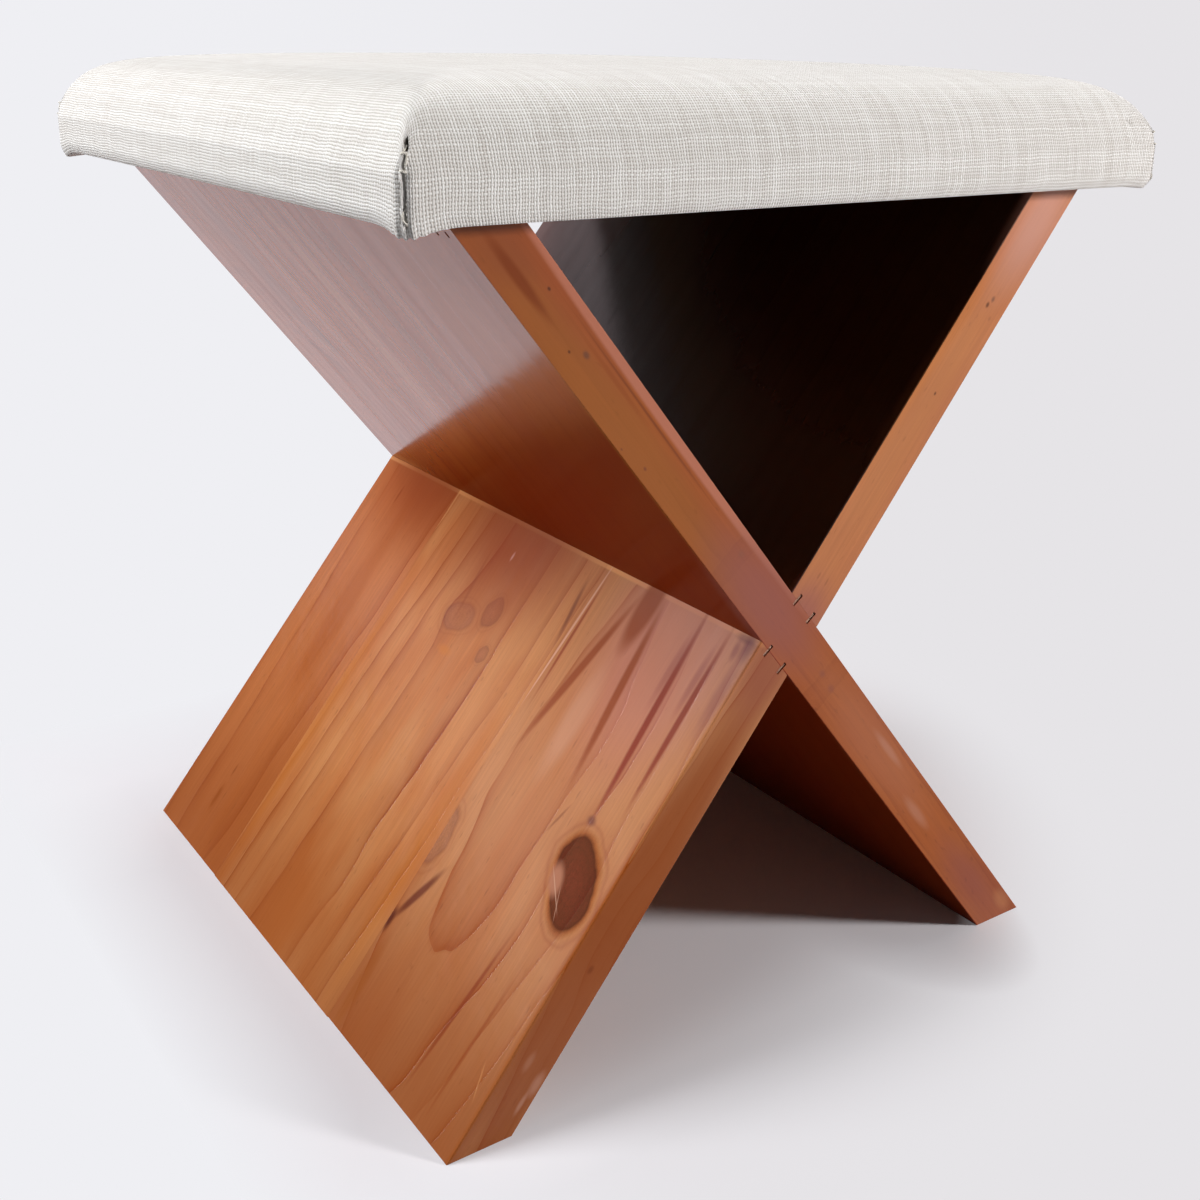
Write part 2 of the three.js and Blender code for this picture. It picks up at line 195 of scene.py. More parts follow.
@dataclass(frozen=True)
class Streaks:
    """An uneven pattern in the wood or the lacquer, by the size of its streaks in millimetres."""

    long: float
    wide: float
    thick: float
    detail: float
    roughness: float = 0.5

    def draw(self, net: Net, board: Socket, shift: Triple, out: int | str = 0) -> Socket:
        """Draws the pattern on a board.

        Args:
            net: The material's tree.
            board: Millimetres along, deep and across the board.
            shift: Moves the pattern, so that no two boards share it.
            out: What to return, the noise's value or its colour.

        Returns:
            The pattern at each point, about 0.5 on average.
        """
        scale = (1 / self.long, 1 / self.wide, 1 / self.thick)
        place = net.add("Mapping", board, shift, NO_MOVE, scale)
        fineness = {"Scale": 1.0, "Detail": self.detail, "Roughness": self.roughness}
        return net.add("TexNoise", at={"Vector": place, **fineness}, out=out)


# The slow wandering of the grain, which keeps the rings' lines from running ruler-straight
WANDER = Streaks(83.33, 33.33, 33.33, 2.0)
WANDER_REACH = (0, 7.0, 5.0)
# Where the stain sank in warmer, in clouds as wide as a hand
BLOTCH = Streaks(125.0, 45.45, 45.45, 3.0, 0.55)
# The fibres, drawn coarser than the real ones of a few hundredths so that they show
FIBRE = Streaks(50.0, 1.4286, 1.4286, 4.0, 0.62)
# The resin ducts, short dark ticks along the grain
DUCT = Streaks(6.25, 1.6129, 1.6129, 0.0)
# Where the late wood took more stain or less
PATCH = Streaks(71.43, 33.33, 20.0, 1.0)
# How the lacquer sank over the grain as it dried
SINK = Streaks(166.67, 8.3333, 8.3333, 3.0)
# The planed fibres under the lacquer, which break up the wood's own shine
NAP = Streaks(33.33, 0.71429, 0.71429, 2.0)
# Bands of thicker and thinner lacquer, left by the spray gun's passes
PASS = Streaks(250.0, 10.0, 10.0, 5.0, 0.55)


@dataclass(frozen=True)
class LacqueredPine:
    """Knotty pine, planed, stained chestnut and sprayed with clear gloss lacquer.

    The stain leaves the wide early wood amber and the narrow late wood dark brown, and the
    lacquer gives a smooth clear coat that mirrors the room at a low angle.
    """

    name: str
    growth: Growth
    early: str = "#AB5C22"
    late: str = "#7A300C"
    warm: str = "#9C4A18"
    late_strength: float = 0.75
    seed: float = 0.0
    knots: tuple[Knot, ...] = ()
    marks: tuple[Mark, ...] = ()
    dull: tuple[Mark, ...] = ()
    haze: float = 0.16
    wood_roughness: float = 0.42
    lacquer_ior: float = 1.68
    knot_pull: float = 2.6
    knot_through: float = 400.0

    def make(self, place: "BoardPlace") -> bpy.types.Material:
        """Writes the material for one board.

        Args:
            place: Turns the piece's coordinates to millimetres along, deep and across the board.

        Returns:
            The finished material.
        """
        material = bpy.data.materials.new(self.name)
        net = Net(material)
        board = place.nodes(net)
        wander = WANDER.draw(net, board, (self.seed, 0, 0), out="Color")
        centred = net.add("VectorMath", wander, NOISE_MIDDLE, operation="SUBTRACT")
        shift = net.add("VectorMath", centred, WANDER_REACH, operation="MULTIPLY")
        wavy = net.add("VectorMath", board, shift, operation="ADD")
        along, deep, across = net.add("SeparateXYZ", wavy).node.outputs
        for knot in self.knots:
            near = self.reach(net, wavy, knot)
            pull = net.add("MapRange", near, 0.0, self.knot_pull, knot.bend, 0.0, **SMOOTH)
            offset = net.add("Math", deep, knot.deep, operation="SUBTRACT")
            pulled = net.add("Math", offset, pull, operation="MULTIPLY")
            deep = net.add("Math", deep, pulled, operation="SUBTRACT")
        late = self.late_wood(net, board, self.rings(net, along, deep, across))
        colour = self.figure(net, board, late)
        for knot in self.knots:
            colour = self.knotted(net, board, knot, colour)
        for mark in self.marks:
            colour = self.marked(net, board, mark, colour)
        self.lacquer(net, board, late, colour)
        return material

    def reach(self, net: Net, board: Socket, knot: Knot) -> Socket:
        """Measures from a knot's middle.

        Args:
            net: The material's tree.
            board: Millimetres along, deep and across the board.
            knot: The knot.

        Returns:
            The distance, 1 at the knot's rim.
        """
        size = (knot.half_along, knot.half_deep, self.knot_through)
        middle, turn = (knot.along, knot.deep, 0), (0, 0, math.radians(knot.turn))
        place = net.add("Mapping", board, middle, turn, size, vector_type="TEXTURE")
        return net.add("VectorMath", place, operation="LENGTH", out="Value")

    def rings(self, net: Net, along: Socket, deep: Socket, across: Socket) -> Socket:
        """Gives the number of growth rings between the pith and each point.

        Args:
            net: The material's tree.
            along: Millimetres along the board.
            deep: Millimetres from the stool's rear.
            across: Millimetres through the board, from its middle.

        Returns:
            A count that rises by 1 from ring to ring.
        """
        growth = self.growth
        centre = net.add("Math", along, growth.drift, growth.centre, operation="MULTIPLY_ADD")
        aside = net.add("Math", deep, centre, operation="SUBTRACT")
        from_bow = net.add("Math", along, growth.bow_from, operation="SUBTRACT")
        squared = net.add("Math", from_bow, from_bow, operation="MULTIPLY")
        bowed = net.add("Math", squared, growth.bow, growth.depth, operation="MULTIPLY_ADD")
        tapered = net.add("Math", along, growth.taper, bowed, operation="MULTIPLY_ADD")
        down = net.add("Math", tapered, across, operation="SUBTRACT")
        spread = net.add("CombineXYZ", aside, down, 0.0)
        radius = net.add("VectorMath", spread, operation="LENGTH", out="Value")
        return net.add("Math", radius, 1 / growth.spacing, growth.phase, operation="MULTIPLY_ADD")

    def figure(self, net: Net, board: Socket, late: Socket) -> Socket:
        """Colours the early and late wood, the stain's blotches, the fibres and the resin ducts.

        Args:
            net: The material's tree.
            board: Millimetres along, deep and across the board.
            late: How dark the late wood is.

        Returns:
            The stained wood's colour, before knots and marks.
        """
        blotch = BLOTCH.draw(net, board, (self.seed, 3, 0))
        warmth = net.add("MapRange", blotch, 0.42, 0.66, 0.0, 1.0)
        early, warm = linear(self.early), linear(self.warm)
        ground = net.add("Mix", at={FACTOR: warmth, FIRST: early, SECOND: warm}, **COLOURS)
        stained = {FACTOR: late, FIRST: ground, SECOND: linear(self.late)}
        wood = net.add("Mix", at=stained, **COLOURS)
        shade = net.add("MapRange", FIBRE.draw(net, board, NO_MOVE), 0.3, 0.7, 0.9, 1.09)
        tick = net.add("MapRange", DUCT.draw(net, board, (self.seed, 0, 0)), 0.75, 0.84, 1.0, 0.8)
        shade = net.add("Math", shade, tick, operation="MULTIPLY")
        shades = net.add("CombineXYZ", shade, shade, shade)
        return net.add("VectorMath", wood, shades, operation="MULTIPLY")

    def late_wood(self, net: Net, board: Socket, rings: Socket) -> Socket:
        """Gives how dark each ring's late wood is: a sharp outer line that fades towards the pith.

        Args:
            net: The material's tree.
            board: Millimetres along, deep and across the board.
            rings: The number of rings between the pith and each point.

        Returns:
            The late wood's share of the colour, from 0 to 1.
        """
        share = net.add("Math", rings, operation="FRACT")
        start = ((0.0, "#8A8A8A"), (0.02, "#000000"), (0.36, "#000000"))
        end = ((0.66, "#666666"), (0.84, "#A4A4A4"), (0.94, "#D2D2D2"), (0.98, "#FFFFFF"))
        band = net.add("ValToRGB", share, ramp=(*start, *end))
        number = net.add("Math", rings, operation="FLOOR")
        own = net.add("Math", number, self.seed, operation="ADD")
        by_ring = net.add("TexWhiteNoise", at={"W": own}, noise_dimensions="1D")
        ring_strength = net.add("MapRange", by_ring, 0.0, 1.0, 0.6, 1.0)
        patchy = PATCH.draw(net, board, (0, self.seed, 0))
        patch_strength = net.add("MapRange", patchy, 0.38, 0.6, 0.5, 1.0)
        strength = net.add("Math", ring_strength, patch_strength, operation="MULTIPLY")
        strength = net.add("Math", strength, self.late_strength, operation="MULTIPLY")
        return net.add("Math", band, strength, operation="MULTIPLY")

    def knotted(self, net: Net, board: Socket, knot: Knot, colour: Socket) -> Socket:
        """Lays one knot over the figure: a mottled heart, a dark rim, a pale collar and a ring line.

        Args:
            net: The material's tree.
            board: Millimetres along, deep and across the board.
            knot: The knot.
            colour: The wood's colour so far.

        Returns:
            The colour with the knot in it.
        """
        uneven = {"Vector": board, "Scale": 0.9 / knot.half_deep, "Detail": 2.0, "Roughness": 0.35}
        rough = net.add("TexNoise", at=uneven, out="Color")
        rough = net.add("VectorMath", rough, NOISE_MIDDLE, operation="SUBTRACT")
        amount = 0.5 * knot.half_deep
        rough = net.add("VectorMath", rough, (amount, amount, 0.0), operation="MULTIPLY")
        reach = self.reach(net, net.add("VectorMath", board, rough, operation="ADD"), knot)
        middle, inside, edge, rim = knot.heart.value
        heart = ((0.0, middle, 0.92), (0.22, inside, 0.92), (0.4, edge, 0.92), (0.45, rim, 0.95))
        collar = (
            (0.5, "#904A20", 0.75),
            (0.56, "#AC6A38", 0.45),
            (0.62, "#904418", 0.5),
            (0.67, "#A8602C", 0.28),
            (0.9, "#A05822", 0.0),
        )
        halved = net.add("Math", reach, 0.5, operation="MULTIPLY")
        tint = net.add("ValToRGB", halved, ramp=(*heart, *collar))
        mottling = {"Vector": board, "Scale": 0.55, "Detail": 4.0, "Distortion": 2.0}
        mottle = net.add("MapRange", net.add("TexNoise", at=mottling), 0.35, 0.65, 0.74, 1.22)
        wave = net.add("Math", net.add("Math", reach, 30.0, operation="MULTIPLY"), operation="SINE")
        lines = net.add("MapRange", wave, 0.0, 1.0, 1.0, 0.86)
        lines = net.add("Math", lines, mottle, operation="MULTIPLY")
        inner = net.add("MapRange", reach, 0.85, 1.3, 1.0, 0.0)
        lines = net.add("Mix", at={FACTOR: inner, FIRST_VALUE: 1.0, SECOND_VALUE: lines})
        all_three = net.add("CombineXYZ", lines, lines, lines)
        ringed = net.add("VectorMath", tint, all_three, operation="MULTIPLY")
        cover = net.add("Math", tint.node.outputs["Alpha"], knot.strength, operation="MULTIPLY")
        return net.add("Mix", at={FACTOR: cover, FIRST: colour, SECOND: ringed}, **COLOURS)

    def marked(self, net: Net, board: Socket, mark: Mark, colour: Socket) -> Socket:
        """Lays one mark over the colour."""
        laid = {FACTOR: self.covered(net, board, mark), FIRST: colour, SECOND: linear(mark.colour)}
        return net.add("Mix", at=laid, **COLOURS)

    def covered(self, net: Net, board: Socket, mark: Mark) -> Socket:
        """Gives how much a mark covers of each point.

        Args:
            net: The material's tree.
            board: Millimetres along, deep and across the board.
            mark: The mark.

        Returns:
            Its share of the colour, full in its core and 0 past its half sizes.
        """
        middle, turn = (mark.along, mark.deep, mark.across), (0, 0, math.radians(mark.turn))
        place = net.add("Mapping", board, middle, turn, mark.half, vector_type="TEXTURE")
        reach = net.add("VectorMath", place, operation="LENGTH", out="Value")
        return net.add("MapRange", reach, mark.core, 1.0, mark.strength, 0.0, **SMOOTH)

    def lacquer(self, net: Net, board: Socket, late: Socket, colour: Socket) -> None:
        """Puts the clear coat over the colour. It sinks a little over the soft early wood.

        Args:
            net: The material's tree.
            board: Millimetres along, deep and across the board.
            late: How dark the late wood is.
            colour: The wood's colour with its knots and marks.
        """
        sink = SINK.draw(net, board, (self.seed, 0, 0))
        relief = net.add("Math", late, 0.35, sink, operation="MULTIPLY_ADD")
        ripple = net.add("TexNoise", at={"Vector": board, "Scale": 0.09, "Detail": 1.0})
        wet = net.add("Bump", at={"Strength": 0.3, "Distance": 0.3 * MM, "Height": ripple})
        sunk = {"Strength": 0.35, "Distance": 0.22 * MM, "Height": relief, "Normal": wet}
        flow = net.add("Bump", at=sunk)
        nap = NAP.draw(net, board, NO_MOVE)
        grain = net.add("Bump", at={"Strength": 0.2, "Distance": 0.2 * MM, "Height": nap})
        gloss = net.add("MapRange", PASS.draw(net, board, (self.seed, 5, 0)), 0.36, 0.6, 0.87, 1.0)
        for mark in self.dull:
            left = net.add("Math", 1.0, self.covered(net, board, mark), operation="SUBTRACT")
            gloss = net.add("Math", gloss, left, operation="MULTIPLY")
        surface = net.add(
            "BsdfPrincipled",
            at={
                "Base Color": colour,
                "Roughness": self.wood_roughness,
                "Specular IOR Level": 0.0,
                "Coat Weight": gloss,
                "Coat Roughness": self.haze,
                "Coat IOR": self.lacquer_ior,
                "Normal": grain,
                "Coat Normal": flow,
            },
        )
        net.add("OutputMaterial", surface)


@dataclass(frozen=True)
class BoardPlace:
    """Where a panel lies, and how far along it a board's figure starts."""

    angle: float
    start: float
    middle: float
    rear: float

    def nodes(self, net: Net) -> Socket:
        """Gives millimetres along, deep and across the board at each point of a piece."""
        shift, scale = (self.start, self.rear, self.middle), (1 / MM, -1 / MM, 1 / MM)
        return net.add("Mapping", net.add("TexCoord", out="Object"), shift, (0, self.angle, 0), scale)


@dataclass(frozen=True)
class LinenWeave:
    """Plain-weave linen, oatmeal, of slubby yarn, undyed.

    Warp ribs stand 1.25 mm apart and the weft 1.4 mm, with dark pores between them. Yarns
    differ in tone and thickness, which draws fine pale lines along the cloth.
    """

    name: str = "oatmeal linen, plain weave"
    warp: float = 1.25
    weft: float = 1.4
    pale: str = "#F6F5F3"
    dull: str = "#E0DCD8"
    pore: str = "#A3998E"
    # Dark brown of the raw edges inside the folds, which also paints their shade, the shade on the lips and
    # the shade in the creases
    raw_edge_and_painted_shade: str = "#57493A"
    drift_scale: float = 0.09
    drift_reach: float = 1.6
    seeds: tuple[float, float] = (3.1, 8.7)

    def make(self) -> bpy.types.Material:
        """Writes the material, which follows the cloth through its UV map in metres.

        Returns:
            The finished material.
        """
        material = bpy.data.materials.new(self.name)
        net = Net(material)
        parts = self.counted(net)
        yarns = [
            self.yarn(net, parts[0], parts[1], self.seeds[0]),
            self.yarn(net, parts[1], parts[0], self.seeds[1]),
        ]
        over = net.add("Math", self.arch(net, parts[0]), self.arch(net, parts[1]), operation="MULTIPLY")
        tops = []
        for (profile, _, slub), wave, middle in zip(yarns, (0.3, -0.44), (0.7, 0.54)):
            lift = net.add("Math", over, wave, middle, operation="MULTIPLY_ADD")
            full = net.add("Math", profile, slub, operation="MULTIPLY")
            tops.append(net.add("Math", full, lift, operation="MULTIPLY"))
        height = net.add("Math", tops[0], tops[1], operation="MAXIMUM")
        which = net.add("Math", tops[0], tops[1], operation="GREATER_THAN")
        tone = net.add("Mix", at={FACTOR: which, FIRST_VALUE: yarns[1][1], SECOND_VALUE: yarns[0][1]})
        tones = {FACTOR: tone, FIRST: linear(self.dull), SECOND: linear(self.pale)}
        yarn_colour = net.add("Mix", at=tones, **COLOURS)
        depth = net.add("MapRange", height, 0.12, 0.62, 1.0, 0.0)
        pores = {FACTOR: depth, FIRST: yarn_colour, SECOND: linear(self.pore)}
        colour = net.add("Mix", at=pores, **COLOURS)
        # The folds' raw insides with their painted shade, and painted shade on the lips and in the creases
        fold = net.add("Attribute", attribute_name="fold", out="Fac")
        hidden = net.add("MapRange", fold, 0.12, 0.95, 0.0, 0.93)
        folded = {FACTOR: hidden, FIRST: colour, SECOND: linear(self.raw_edge_and_painted_shade)}
        colour = net.add("Mix", at=folded, **COLOURS)
        bump = net.add("Bump", at={"Strength": 0.55, "Distance": 0.5 * MM, "Height": height})
        surface = net.add(
            "BsdfPrincipled",
            at={
                "Base Color": colour,
                "Roughness": 0.9,
                "Specular IOR Level": 0.15,
                "Sheen Weight": 0.25,
                "Sheen Roughness": 0.5,
                "Normal": bump,
            },
        )
        net.add("OutputMaterial", surface)
        return material

    def counted(self, net: Net) -> bpy.types.bpy_prop_collection:
        """Counts the yarns, whose lines wander a little over the cloth.

        Args:
            net: The material's tree.

        Returns:
            Two outputs, the number of the warp yarn and of the weft yarn at each point.
        """
        cloth = net.add("UVMap", uv_map="cloth")
        mm = net.add("VectorMath", cloth, (1 / MM, 1 / MM, 0), operation="MULTIPLY")
        wide = (self.drift_scale, self.drift_scale, 0)
        broad = net.add("VectorMath", mm, wide, operation="MULTIPLY")
        drift = net.add("TexNoise", at={"Vector": broad, "Scale": 1.0, "Detail": 2.0}, out="Color")
        drift = net.add("VectorMath", drift, NOISE_MIDDLE, operation="SUBTRACT")
        reach = (self.drift_reach, self.drift_reach, 0)
        drift = net.add("VectorMath", drift, reach, operation="MULTIPLY")
        laid = net.add("VectorMath", mm, drift, operation="ADD")
        spacing = (1 / self.warp, 1 / self.weft, 0)
        number = net.add("VectorMath", laid, spacing, operation="MULTIPLY")
        return net.add("SeparateXYZ", number).node.outputs

    def arch(self, net: Net, number: Socket) -> Socket:
        """Gives a wave that is 1 along each yarn's middle and changes sign from yarn to yarn.

        Args:
            net: The material's tree.
            number: Counts the yarns, or a share of one, from side to side.

        Returns:
            The wave's height.
        """
        middle = net.add("Math", number, 0.5, operation="SUBTRACT")
        angle = net.add("Math", middle, math.pi, operation="MULTIPLY")
        return net.add("Math", angle, operation="COSINE")

    def yarn(self, net: Net, number: Socket, length: Socket, seed: float) -> tuple[Socket, Socket, Socket]:
        """Gives the yarns of one direction.

        Args:
            net: The material's tree.
            number: Counts the yarns from side to side.
            length: Runs along them.
            seed: Keeps warp and weft apart.

        Returns:
            The yarn's round profile, its tone from 0 to 1 and its thickness.
        """
        profile = self.arch(net, net.add("Math", number, operation="FRACT"))
        index = net.add("Math", number, operation="FLOOR")
        apart = net.add("Math", index, 7.31, operation="MULTIPLY")
        slow = net.add("Math", length, 0.05, operation="MULTIPLY")
        spot = net.add("CombineXYZ", apart, slow, seed)
        slub_noise = net.add("TexNoise", at={"Vector": spot, "Scale": 1.0, "Detail": 1.0})
        slub = net.add("MapRange", slub_noise, 0.3, 0.7, 0.84, 1.1)
        own = net.add("Math", index, seed, operation="ADD")
        each = net.add("TexWhiteNoise", at={"W": own}, noise_dimensions="1D")
        half = net.add("Math", each, 0.5, operation="MULTIPLY")
        mixed = net.add("Math", slub_noise, 0.8, half, operation="MULTIPLY_ADD")
        tone = net.add("MapRange", mixed, 0.3, 0.9, 0.15, 1.0)
        return profile, tone, slub


@dataclass(frozen=True)
class PlainFinish:
    """A finish seen little or only from below: a ground colour, a second tone and a grain.

    The grain is the size of its streaks in millimetres, along X, Y and Z.
    """

    name: str
    ground: str
    tone: str
    grain: Triple
    roughness: float
    metallic: float = 0.0
    bump: float = 0.15

    def make(self) -> bpy.types.Material:
        """Writes the material.

        Returns:
            The finished material.
        """
        material = bpy.data.materials.new(self.name)
        net = Net(material)
        scale = tuple(1 / (MM * size) for size in self.grain)
        place = net.add("Mapping", net.add("TexCoord", out="Object"), NO_MOVE, NO_MOVE, scale)
        noise = net.add("TexNoise", at={"Vector": place, "Scale": 1.0, "Detail": 4.0})
        spread = net.add("MapRange", noise, 0.3, 0.7, 0.0, 1.0)
        tones = {FACTOR: spread, FIRST: linear(self.ground), SECOND: linear(self.tone)}
        colour = net.add("Mix", at=tones, **COLOURS)
        bump = net.add("Bump", at={"Strength": 0.4, "Distance": self.bump * MM, "Height": noise})
        surface = net.add(
            "BsdfPrincipled",
            at={"Base Color": colour, "Roughness": self.roughness, "Metallic": self.metallic, "Normal": bump},
        )
        net.add("OutputMaterial", surface)
        return material


def select_only(piece: bpy.types.Object) -> None:
    """Makes one object the only one selected, and active.

    Args:
        piece: The object.
    """
    for other in bpy.context.selected_objects:
        other.select_set(False)
    piece.select_set(True)
    bpy.context.view_layer.objects.active = piece


def seat_in_model(piece: bpy.types.Object, slot: str, *nodes: str) -> None:
    """Fixes a finished piece to the stool.

    Args:
        piece: The finished piece, in place.
        slot: The record's material slot that it is finished in. Not used.
        nodes: The CAD nodes that it stands for.
    """
    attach(piece, "root")
    if nodes:
        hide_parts(*nodes)
    named = ", ".join(nodes) or "nothing"
    log.info("%s: %d faces, stands for %s", piece.name, len(piece.data.polygons), named)


@dataclass
class XFrame:
    """The two pine panels, seen from the front as an X, each edge-glued from three boards."""

    height: float = 400.0
    thickness: float = BOARD_THICKNESS
    depth: float = PANEL_DEPTH
    top_half_span: float = 155.6
    foot_half_span: float = 164.4
    through_corner: Triple = (-171.9, 0.0, 400.0)
    lower_corner: Triple = (-16.3, 0.0, 205.5)
    upper_corner: Triple = (139.3, 0.0, 400.0)
    glue_line: float = 0.3
    glue_left: float = 0.05
    arris: float = 0.4
    arris_steps: int = 3
    tolerance: float = 0.06
    merge: float = 0.02
    flat_angle: float = 0.4
    top_from: float = 300.0

    def __post_init__(self) -> None:
        """Works out the panels' directions from the spans."""
        across = self.top_half_span + self.foot_half_span
        length = math.hypot(across, self.height)
        self.through = Vector((across / length, 0, -self.height / length))
        self.cut = Vector((-across / length, 0, -self.height / length))

    def square(self, direction: Vector) -> Vector:
        """Gives the direction through a panel's thickness."""
        return Vector((-direction.z, 0, direction.x))

    def top(self, direction: Vector) -> Vector:
        """Gives the middle of a panel's top end."""
        side = -1 if direction == self.through else 1
        return Vector((side * self.top_half_span, 0, self.height))

    def offset(self, direction: Vector, point: Vector) -> float:
        """Gives a point's distance from a panel's middle plane, positive towards the stool's right."""
        return (point - self.top(direction)).dot(self.square(direction))

    def place(self, direction: Vector, corner: Triple) -> BoardPlace:
        """Gives the place of a panel's boards.

        Args:
            direction: The panel's direction, downwards.
            corner: A point of the plane that the boards' length is measured from.

        Returns:
            The place, in millimetres.
        """
        middle = -self.top(direction).dot(self.square(direction))
        angle = math.atan2(direction.z, direction.x)
        return BoardPlace(angle, -Vector(corner).dot(direction), middle, self.depth / 2)

    def board(self, node: str, material: bpy.types.Material) -> bpy.types.Object:
        """Makes one board from its CAD solid, with its glue lines closed and its arrises eased.

        Args:
            node: The CAD node.
            material: The board's own finish.

        Returns:
            The finished board.
        """
        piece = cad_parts[node].copy()
        piece.data = piece.data.copy()
        piece.name = node.replace("_board", "_plank")
        piece.parent = None
        for key in list(piece.keys()):
            del piece[key]
        bpy.context.scene.collection.objects.link(piece)
        piece.data.materials.clear()
        piece.data.materials.append(material)
        select_only(piece)
        bpy.ops.object.mode_set(mode="EDIT")
        bpy.ops.mesh.select_all(action="SELECT")
        bpy.ops.mesh.remove_doubles(threshold=self.merge * MM)
        bpy.ops.mesh.dissolve_limited(angle_limit=math.radians(self.flat_angle))
        self.close_glue_lines(piece, node)
        if not node.startswith("through"):
            self.ease(piece, self.cut)
        else:
            self.split_at_crossing()
            self.ease(piece, self.through)
        bpy.ops.object.mode_set(mode="OBJECT")
        if piece.data.has_custom_normals:
            bpy.ops.mesh.customdata_custom_splitnormals_clear()
        bpy.ops.object.shade_flat()
        return piece

    def close_glue_lines(self, piece: bpy.types.Object, node: str) -> None:
        """Moves the glued faces together, so that only a hairline shows between boards.

        Args:
            piece: The board, in edit mode.
            node: Its CAD node.
        """
        mesh = bmesh.from_edit_mesh(piece.data)
        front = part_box(node)[0].y
        pull = (self.glue_line - self.glue_left) * MM
        glued_in_front = front > (1 - self.depth / 2) * MM
        cut = not node.startswith("through")
        face = self.thickness / 2 + self.glue_line
        for vertex in mesh.verts:
            if abs(vertex.co.y - front) < self.tolerance * MM and glued_in_front:
                vertex.co.y -= pull
            if cut:
                gap = self.offset(self.through, vertex.co / MM)
                if abs(abs(gap) - face) < self.tolerance:
                    vertex.co += self.cut * math.copysign(pull, gap)
        bmesh.update_edit_mesh(piece.data)

    def split_at_crossing(self) -> None:
        """Divides the through panel's long edges where the cut panel meets them."""
        square = self.square(self.cut)
        for side in (-1, 1):
            bpy.ops.mesh.select_all(action="SELECT")
            point = self.top(self.cut) * MM + square * side * (self.thickness / 2 - self.arris) * MM
            bpy.ops.mesh.bisect(plane_co=point, plane_no=square)

    def ease(self, piece: bpy.types.Object, direction: Vector) -> None:
        """Rounds the arrises that hands and a sander reach, and leaves the joints sharp.

        Args:
            piece: The board, in edit mode.
            direction: Its panel's direction.
        """
        bpy.ops.mesh.select_all(action="DESELECT")
        mesh = bmesh.from_edit_mesh(piece.data)
        top = max(vertex.co.z for vertex in mesh.verts) / MM
        levels = (0.0, top) if top > self.top_from else (0.0,)
        for edge in mesh.edges:
            ends = [vertex.co / MM for vertex in edge.verts]
            edge.select = self.reached(ends, direction, levels)
        bmesh.update_edit_mesh(piece.data)
        size, steps = self.arris * MM, self.arris_steps
        bpy.ops.mesh.bevel(offset=size, segments=steps, affect="EDGES", clamp_overlap=True)

    def reached(self, ends: list[Vector], direction: Vector, levels: tuple[float, ...]) -> bool:
        """Tells whether hands and a sander reach an edge.

        Args:
            ends: The edge's ends.
            direction: Its panel's direction.
            levels: The heights of the board's level ends that stay open.

        Returns:
            True for an arris along the panel's outside and for the rims of its ends.
        """
        half = self.thickness / 2
        outside = all(abs(abs(end.y) - self.depth / 2) < self.tolerance for end in ends)
        on_face = all(abs(abs(self.offset(direction, end)) - half) < self.tolerance for end in ends)
        if (on_face or outside) and any(
            all(abs(end.z - level) < self.tolerance for end in ends) for level in levels
        ):
            return True
        run = (ends[1] - ends[0]).normalized()
        joined = direction == self.through and self.inside_joint((ends[0] + ends[1]) / 2)
        return abs(run.dot(direction)) > 0.999 and outside and on_face and not joined

    def inside_joint(self, point: Vector) -> bool:
        """Tells whether a point of the through panel's edge lies against the cut panel."""
        return abs(self.offset(self.cut, point)) < self.thickness / 2

    def build(self) -> None:
        """Makes the nine boards and dresses each from its own part of the log."""
        places = {
            "through": self.place(self.through, self.through_corner),
            "lower": self.place(self.cut, self.lower_corner),
            "upper": self.place(self.cut, self.upper_corner),
        }
        for node, finish in BOARD_FINISHES.items():
            piece = self.board(node, finish.make(places[node.split("_")[0]]))
            seat_in_model(piece, "stained_pine", node)


# The boards' outer face and front edge, where the marks lie
FACE = -BOARD_THICKNESS / 2
EDGE = PANEL_DEPTH


def pit(
    along: float, across: float, size: float = 1.0, colour: str = "#4A2412", strength: float = 0.8
) -> Mark:
    """Gives a small pit or filled hole in a board's front edge.

    Args:
        along: Millimetres along the board.
        across: Millimetres from the edge's middle line.
        size: Its size, 1 for one 2.6 by 1.8 mm.
        colour: Its colour.
        strength: How much it covers.

    Returns:
        The mark.
    """
    return Mark(along, EDGE, across, (1.3 * size, 2.0, 0.9 * size), colour, strength)


def rim_of_shade(half_across: float, colour: str, strength: float, core: float) -> Mark:
    """Gives a mark 4 metres wide, whose rim crosses the through panel as a slanting line.

    Args:
        half_across: How deep it goes into the board.
        colour: Its colour.
        strength: How much it covers.
        core: Where its rim starts to fade.

    Returns:
        The mark.
    """
    return Mark(1935, 1097, FACE, (2000, 2000, half_across), colour, strength, core=core)


def painted_shade_in_v(deep: float, half_deep: float) -> Mark:
    """Gives the nearly black painted shade inside the upper V, on one board's share of the face."""
    return Mark(110, deep, FACE, (260, half_deep, 1), "#1A0702", 0.95, core=0.6)


# Under the joint a painted shade darkens the face and the lacquer is thin, up to a line that slants forward
JOINT_PAINTED_SHADE = rim_of_shade(1, "#822603", 0.84, 0.975)
JOINT_DULL = rim_of_shade(1, "#000000", 0.8, 0.98)
INNER_DULL = Mark(0, 371, FACE, (190, 335, 9), "#000000", 0.92, core=0.5)
REAR_DULL = Mark(0, 70, FACE, (100, 150, 9), "#000000", 0.75, core=0.2)
# The pale line along the lower panel's top, where it meets the through panel
PALE_ARRIS = Mark(0.6, 190, FACE, (2.4, 900, 6), "#D8945A", 0.9, core=0.5)

